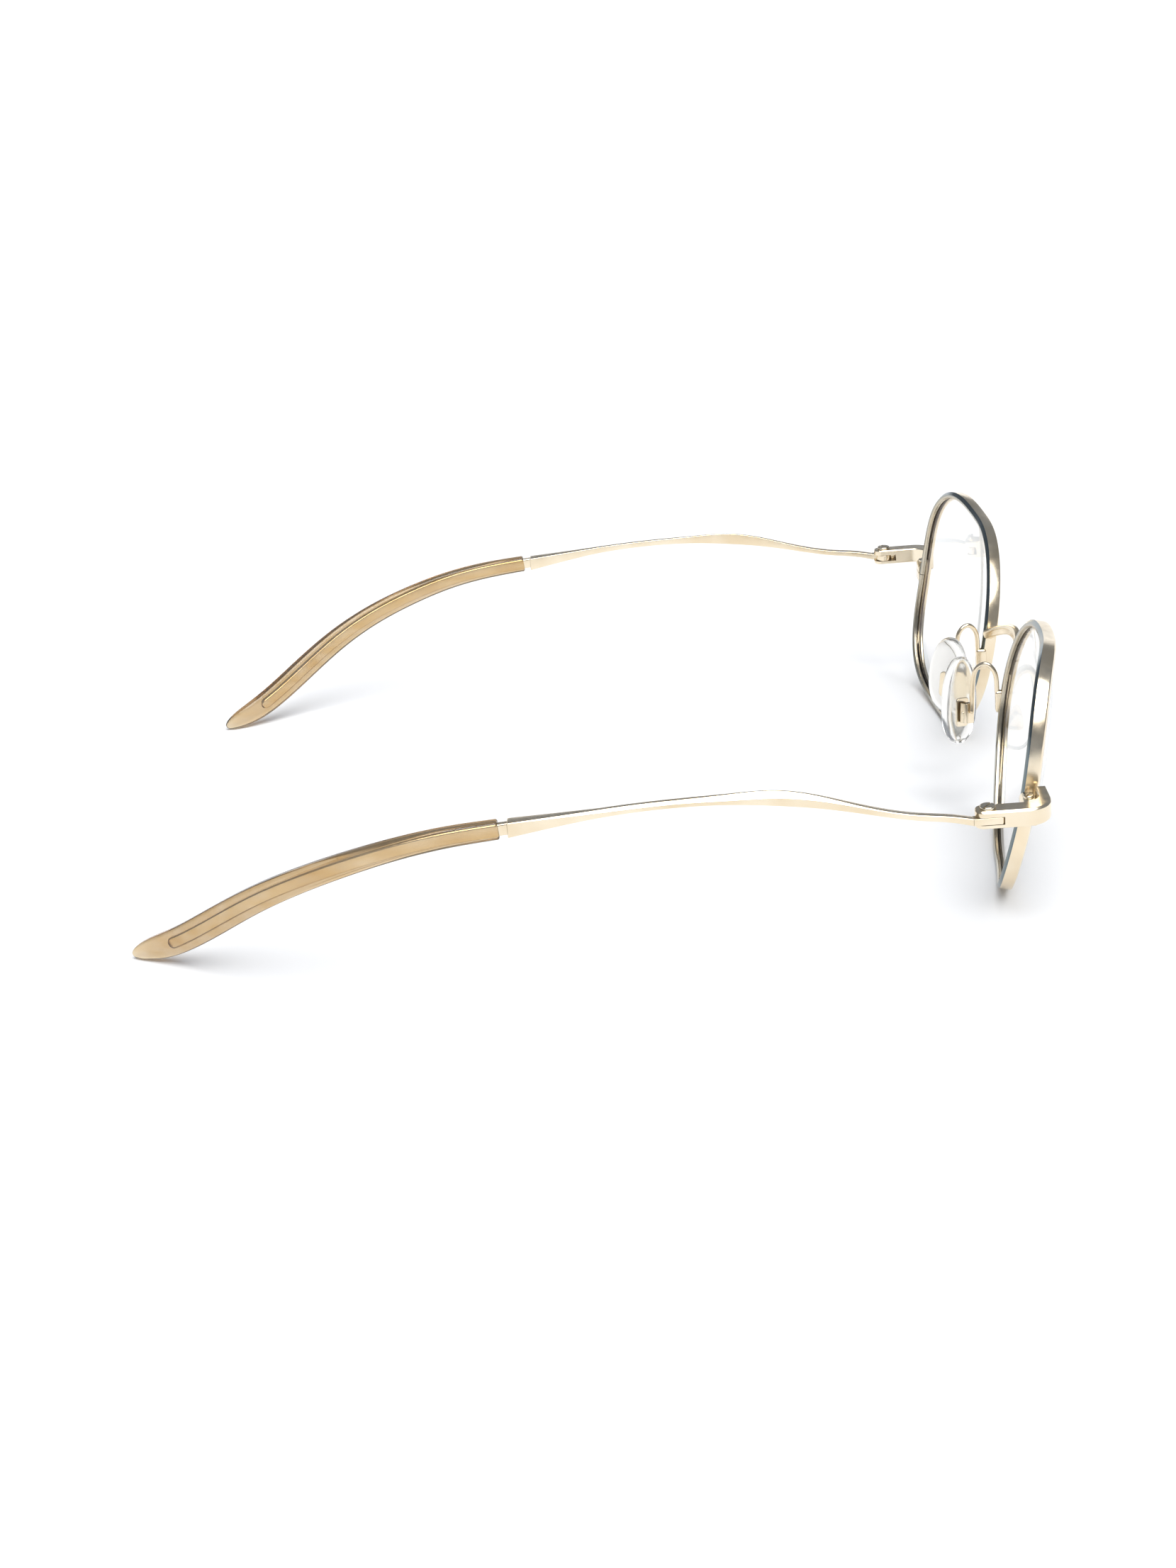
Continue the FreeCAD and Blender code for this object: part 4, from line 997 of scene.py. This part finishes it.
def light_room(scene):
    """A dim bluish room, and one wide soft source, high on the camera's side and a little in front of the frame."""
    world = bpy.data.worlds.new("Studio")
    world.use_nodes = True
    background = world.node_tree.nodes["Background"]
    background.inputs["Color"].default_value = linear(scene.eyewear_colours.room)
    background.inputs["Strength"].default_value = 0.42
    scene.world = world
    scene.view_settings.view_transform = "Standard"

    softbox = bpy.data.lights.new("Softbox", "SUN")
    softbox.energy = 3.5
    softbox.angle = math.radians(58)
    lamp = bpy.data.objects.new("Softbox", softbox)
    lamp.matrix_world = Matrix.Rotation(math.radians(-77), 4, "Z") @ Matrix.Rotation(math.radians(26), 4, "X")
    scene.collection.objects.link(lamp)


def place_camera(scene):
    """The camera stands on the wearer's right, turned from straight across by a yaw, tipped down by a pitch and
    rolled about its own view. Its place and turn are measured from the lens datum."""
    yaw, pitch, roll = (math.radians(angle) for angle in (-1.98667, 22.08394, -4.89411))
    stands = np.array([-384.17, 59.133, 141.231])
    ahead = np.array([math.cos(yaw), -math.sin(yaw), 0.0])
    right = np.array([-math.sin(yaw), -math.cos(yaw), 0.0])
    sky = np.array([0.0, 0.0, 1.0])
    view = math.cos(pitch) * ahead - math.sin(pitch) * sky
    above = math.sin(pitch) * ahead + math.cos(pitch) * sky
    rolled_right = math.cos(roll) * right + math.sin(roll) * above
    rolled_up = -math.sin(roll) * right + math.cos(roll) * above
    place = np.eye(4)
    place[:3, :3] = (np.stack([rolled_right, rolled_up, -view]) @ turn("X", -LEAN)).T
    place[:3, 3] = (stands @ turn("X", -LEAN) + STANDS_AT) * MM
    lens = bpy.data.cameras.new("Camera")
    lens.lens = 53.83
    lens.clip_start, lens.clip_end = 0.01, 50.0
    camera = bpy.data.objects.new("Camera", lens)
    camera.matrix_world = Matrix(place.tolist())
    scene.collection.objects.link(camera)
    scene.camera = camera


class EYEWEAR_OT_stage(bpy.types.Operator):
    """Sets the white card, the soft light and the camera."""

    bl_idname = "eyewear.stage"
    bl_label = "Stage"

    def execute(self, context):
        lay_card(context.scene)
        light_room(context.scene)
        place_camera(context.scene)
        return {"FINISHED"}


class EYEWEAR_PT_panel(bpy.types.Panel):
    """Lists the pieces and the sizes and colours that they take."""

    bl_idname = "EYEWEAR_PT_panel"
    bl_label = "Eyeglasses Frame"
    bl_space_type = "VIEW_3D"
    bl_region_type = "UI"
    bl_category = "Eyewear"

    def draw(self, context):
        for group in (context.scene.eyewear_sizes, context.scene.eyewear_colours):
            column = self.layout.column()
            for name in group.__annotations__:
                column.prop(group, name)
        for operator in OPERATORS:
            self.layout.operator(operator.bl_idname)


OPERATORS = (
    EYEWEAR_OT_rims, EYEWEAR_OT_lenses, EYEWEAR_OT_bridge, EYEWEAR_OT_closing_blocks, EYEWEAR_OT_end_pieces,
    EYEWEAR_OT_hinge_screws, EYEWEAR_OT_temples, EYEWEAR_OT_temple_tips, EYEWEAR_OT_pad_arms,
    EYEWEAR_OT_pad_holders, EYEWEAR_OT_nose_pads, EYEWEAR_OT_stage,
)
CLASSES = (EyewearSizes, EyewearColours) + OPERATORS + (EYEWEAR_PT_panel,)


def register():
    for item in CLASSES:
        bpy.utils.register_class(item)
    bpy.types.Scene.eyewear_sizes = bpy.props.PointerProperty(type=EyewearSizes)
    bpy.types.Scene.eyewear_colours = bpy.props.PointerProperty(type=EyewearColours)


def unregister():
    del bpy.types.Scene.eyewear_colours
    del bpy.types.Scene.eyewear_sizes
    for item in reversed(CLASSES):
        bpy.utils.unregister_class(item)


def main():
    register()
    for operator in OPERATORS:
        group, action = operator.bl_idname.split(".")
        getattr(getattr(bpy.ops, group), action)()


if __name__ == "__main__":
    main()
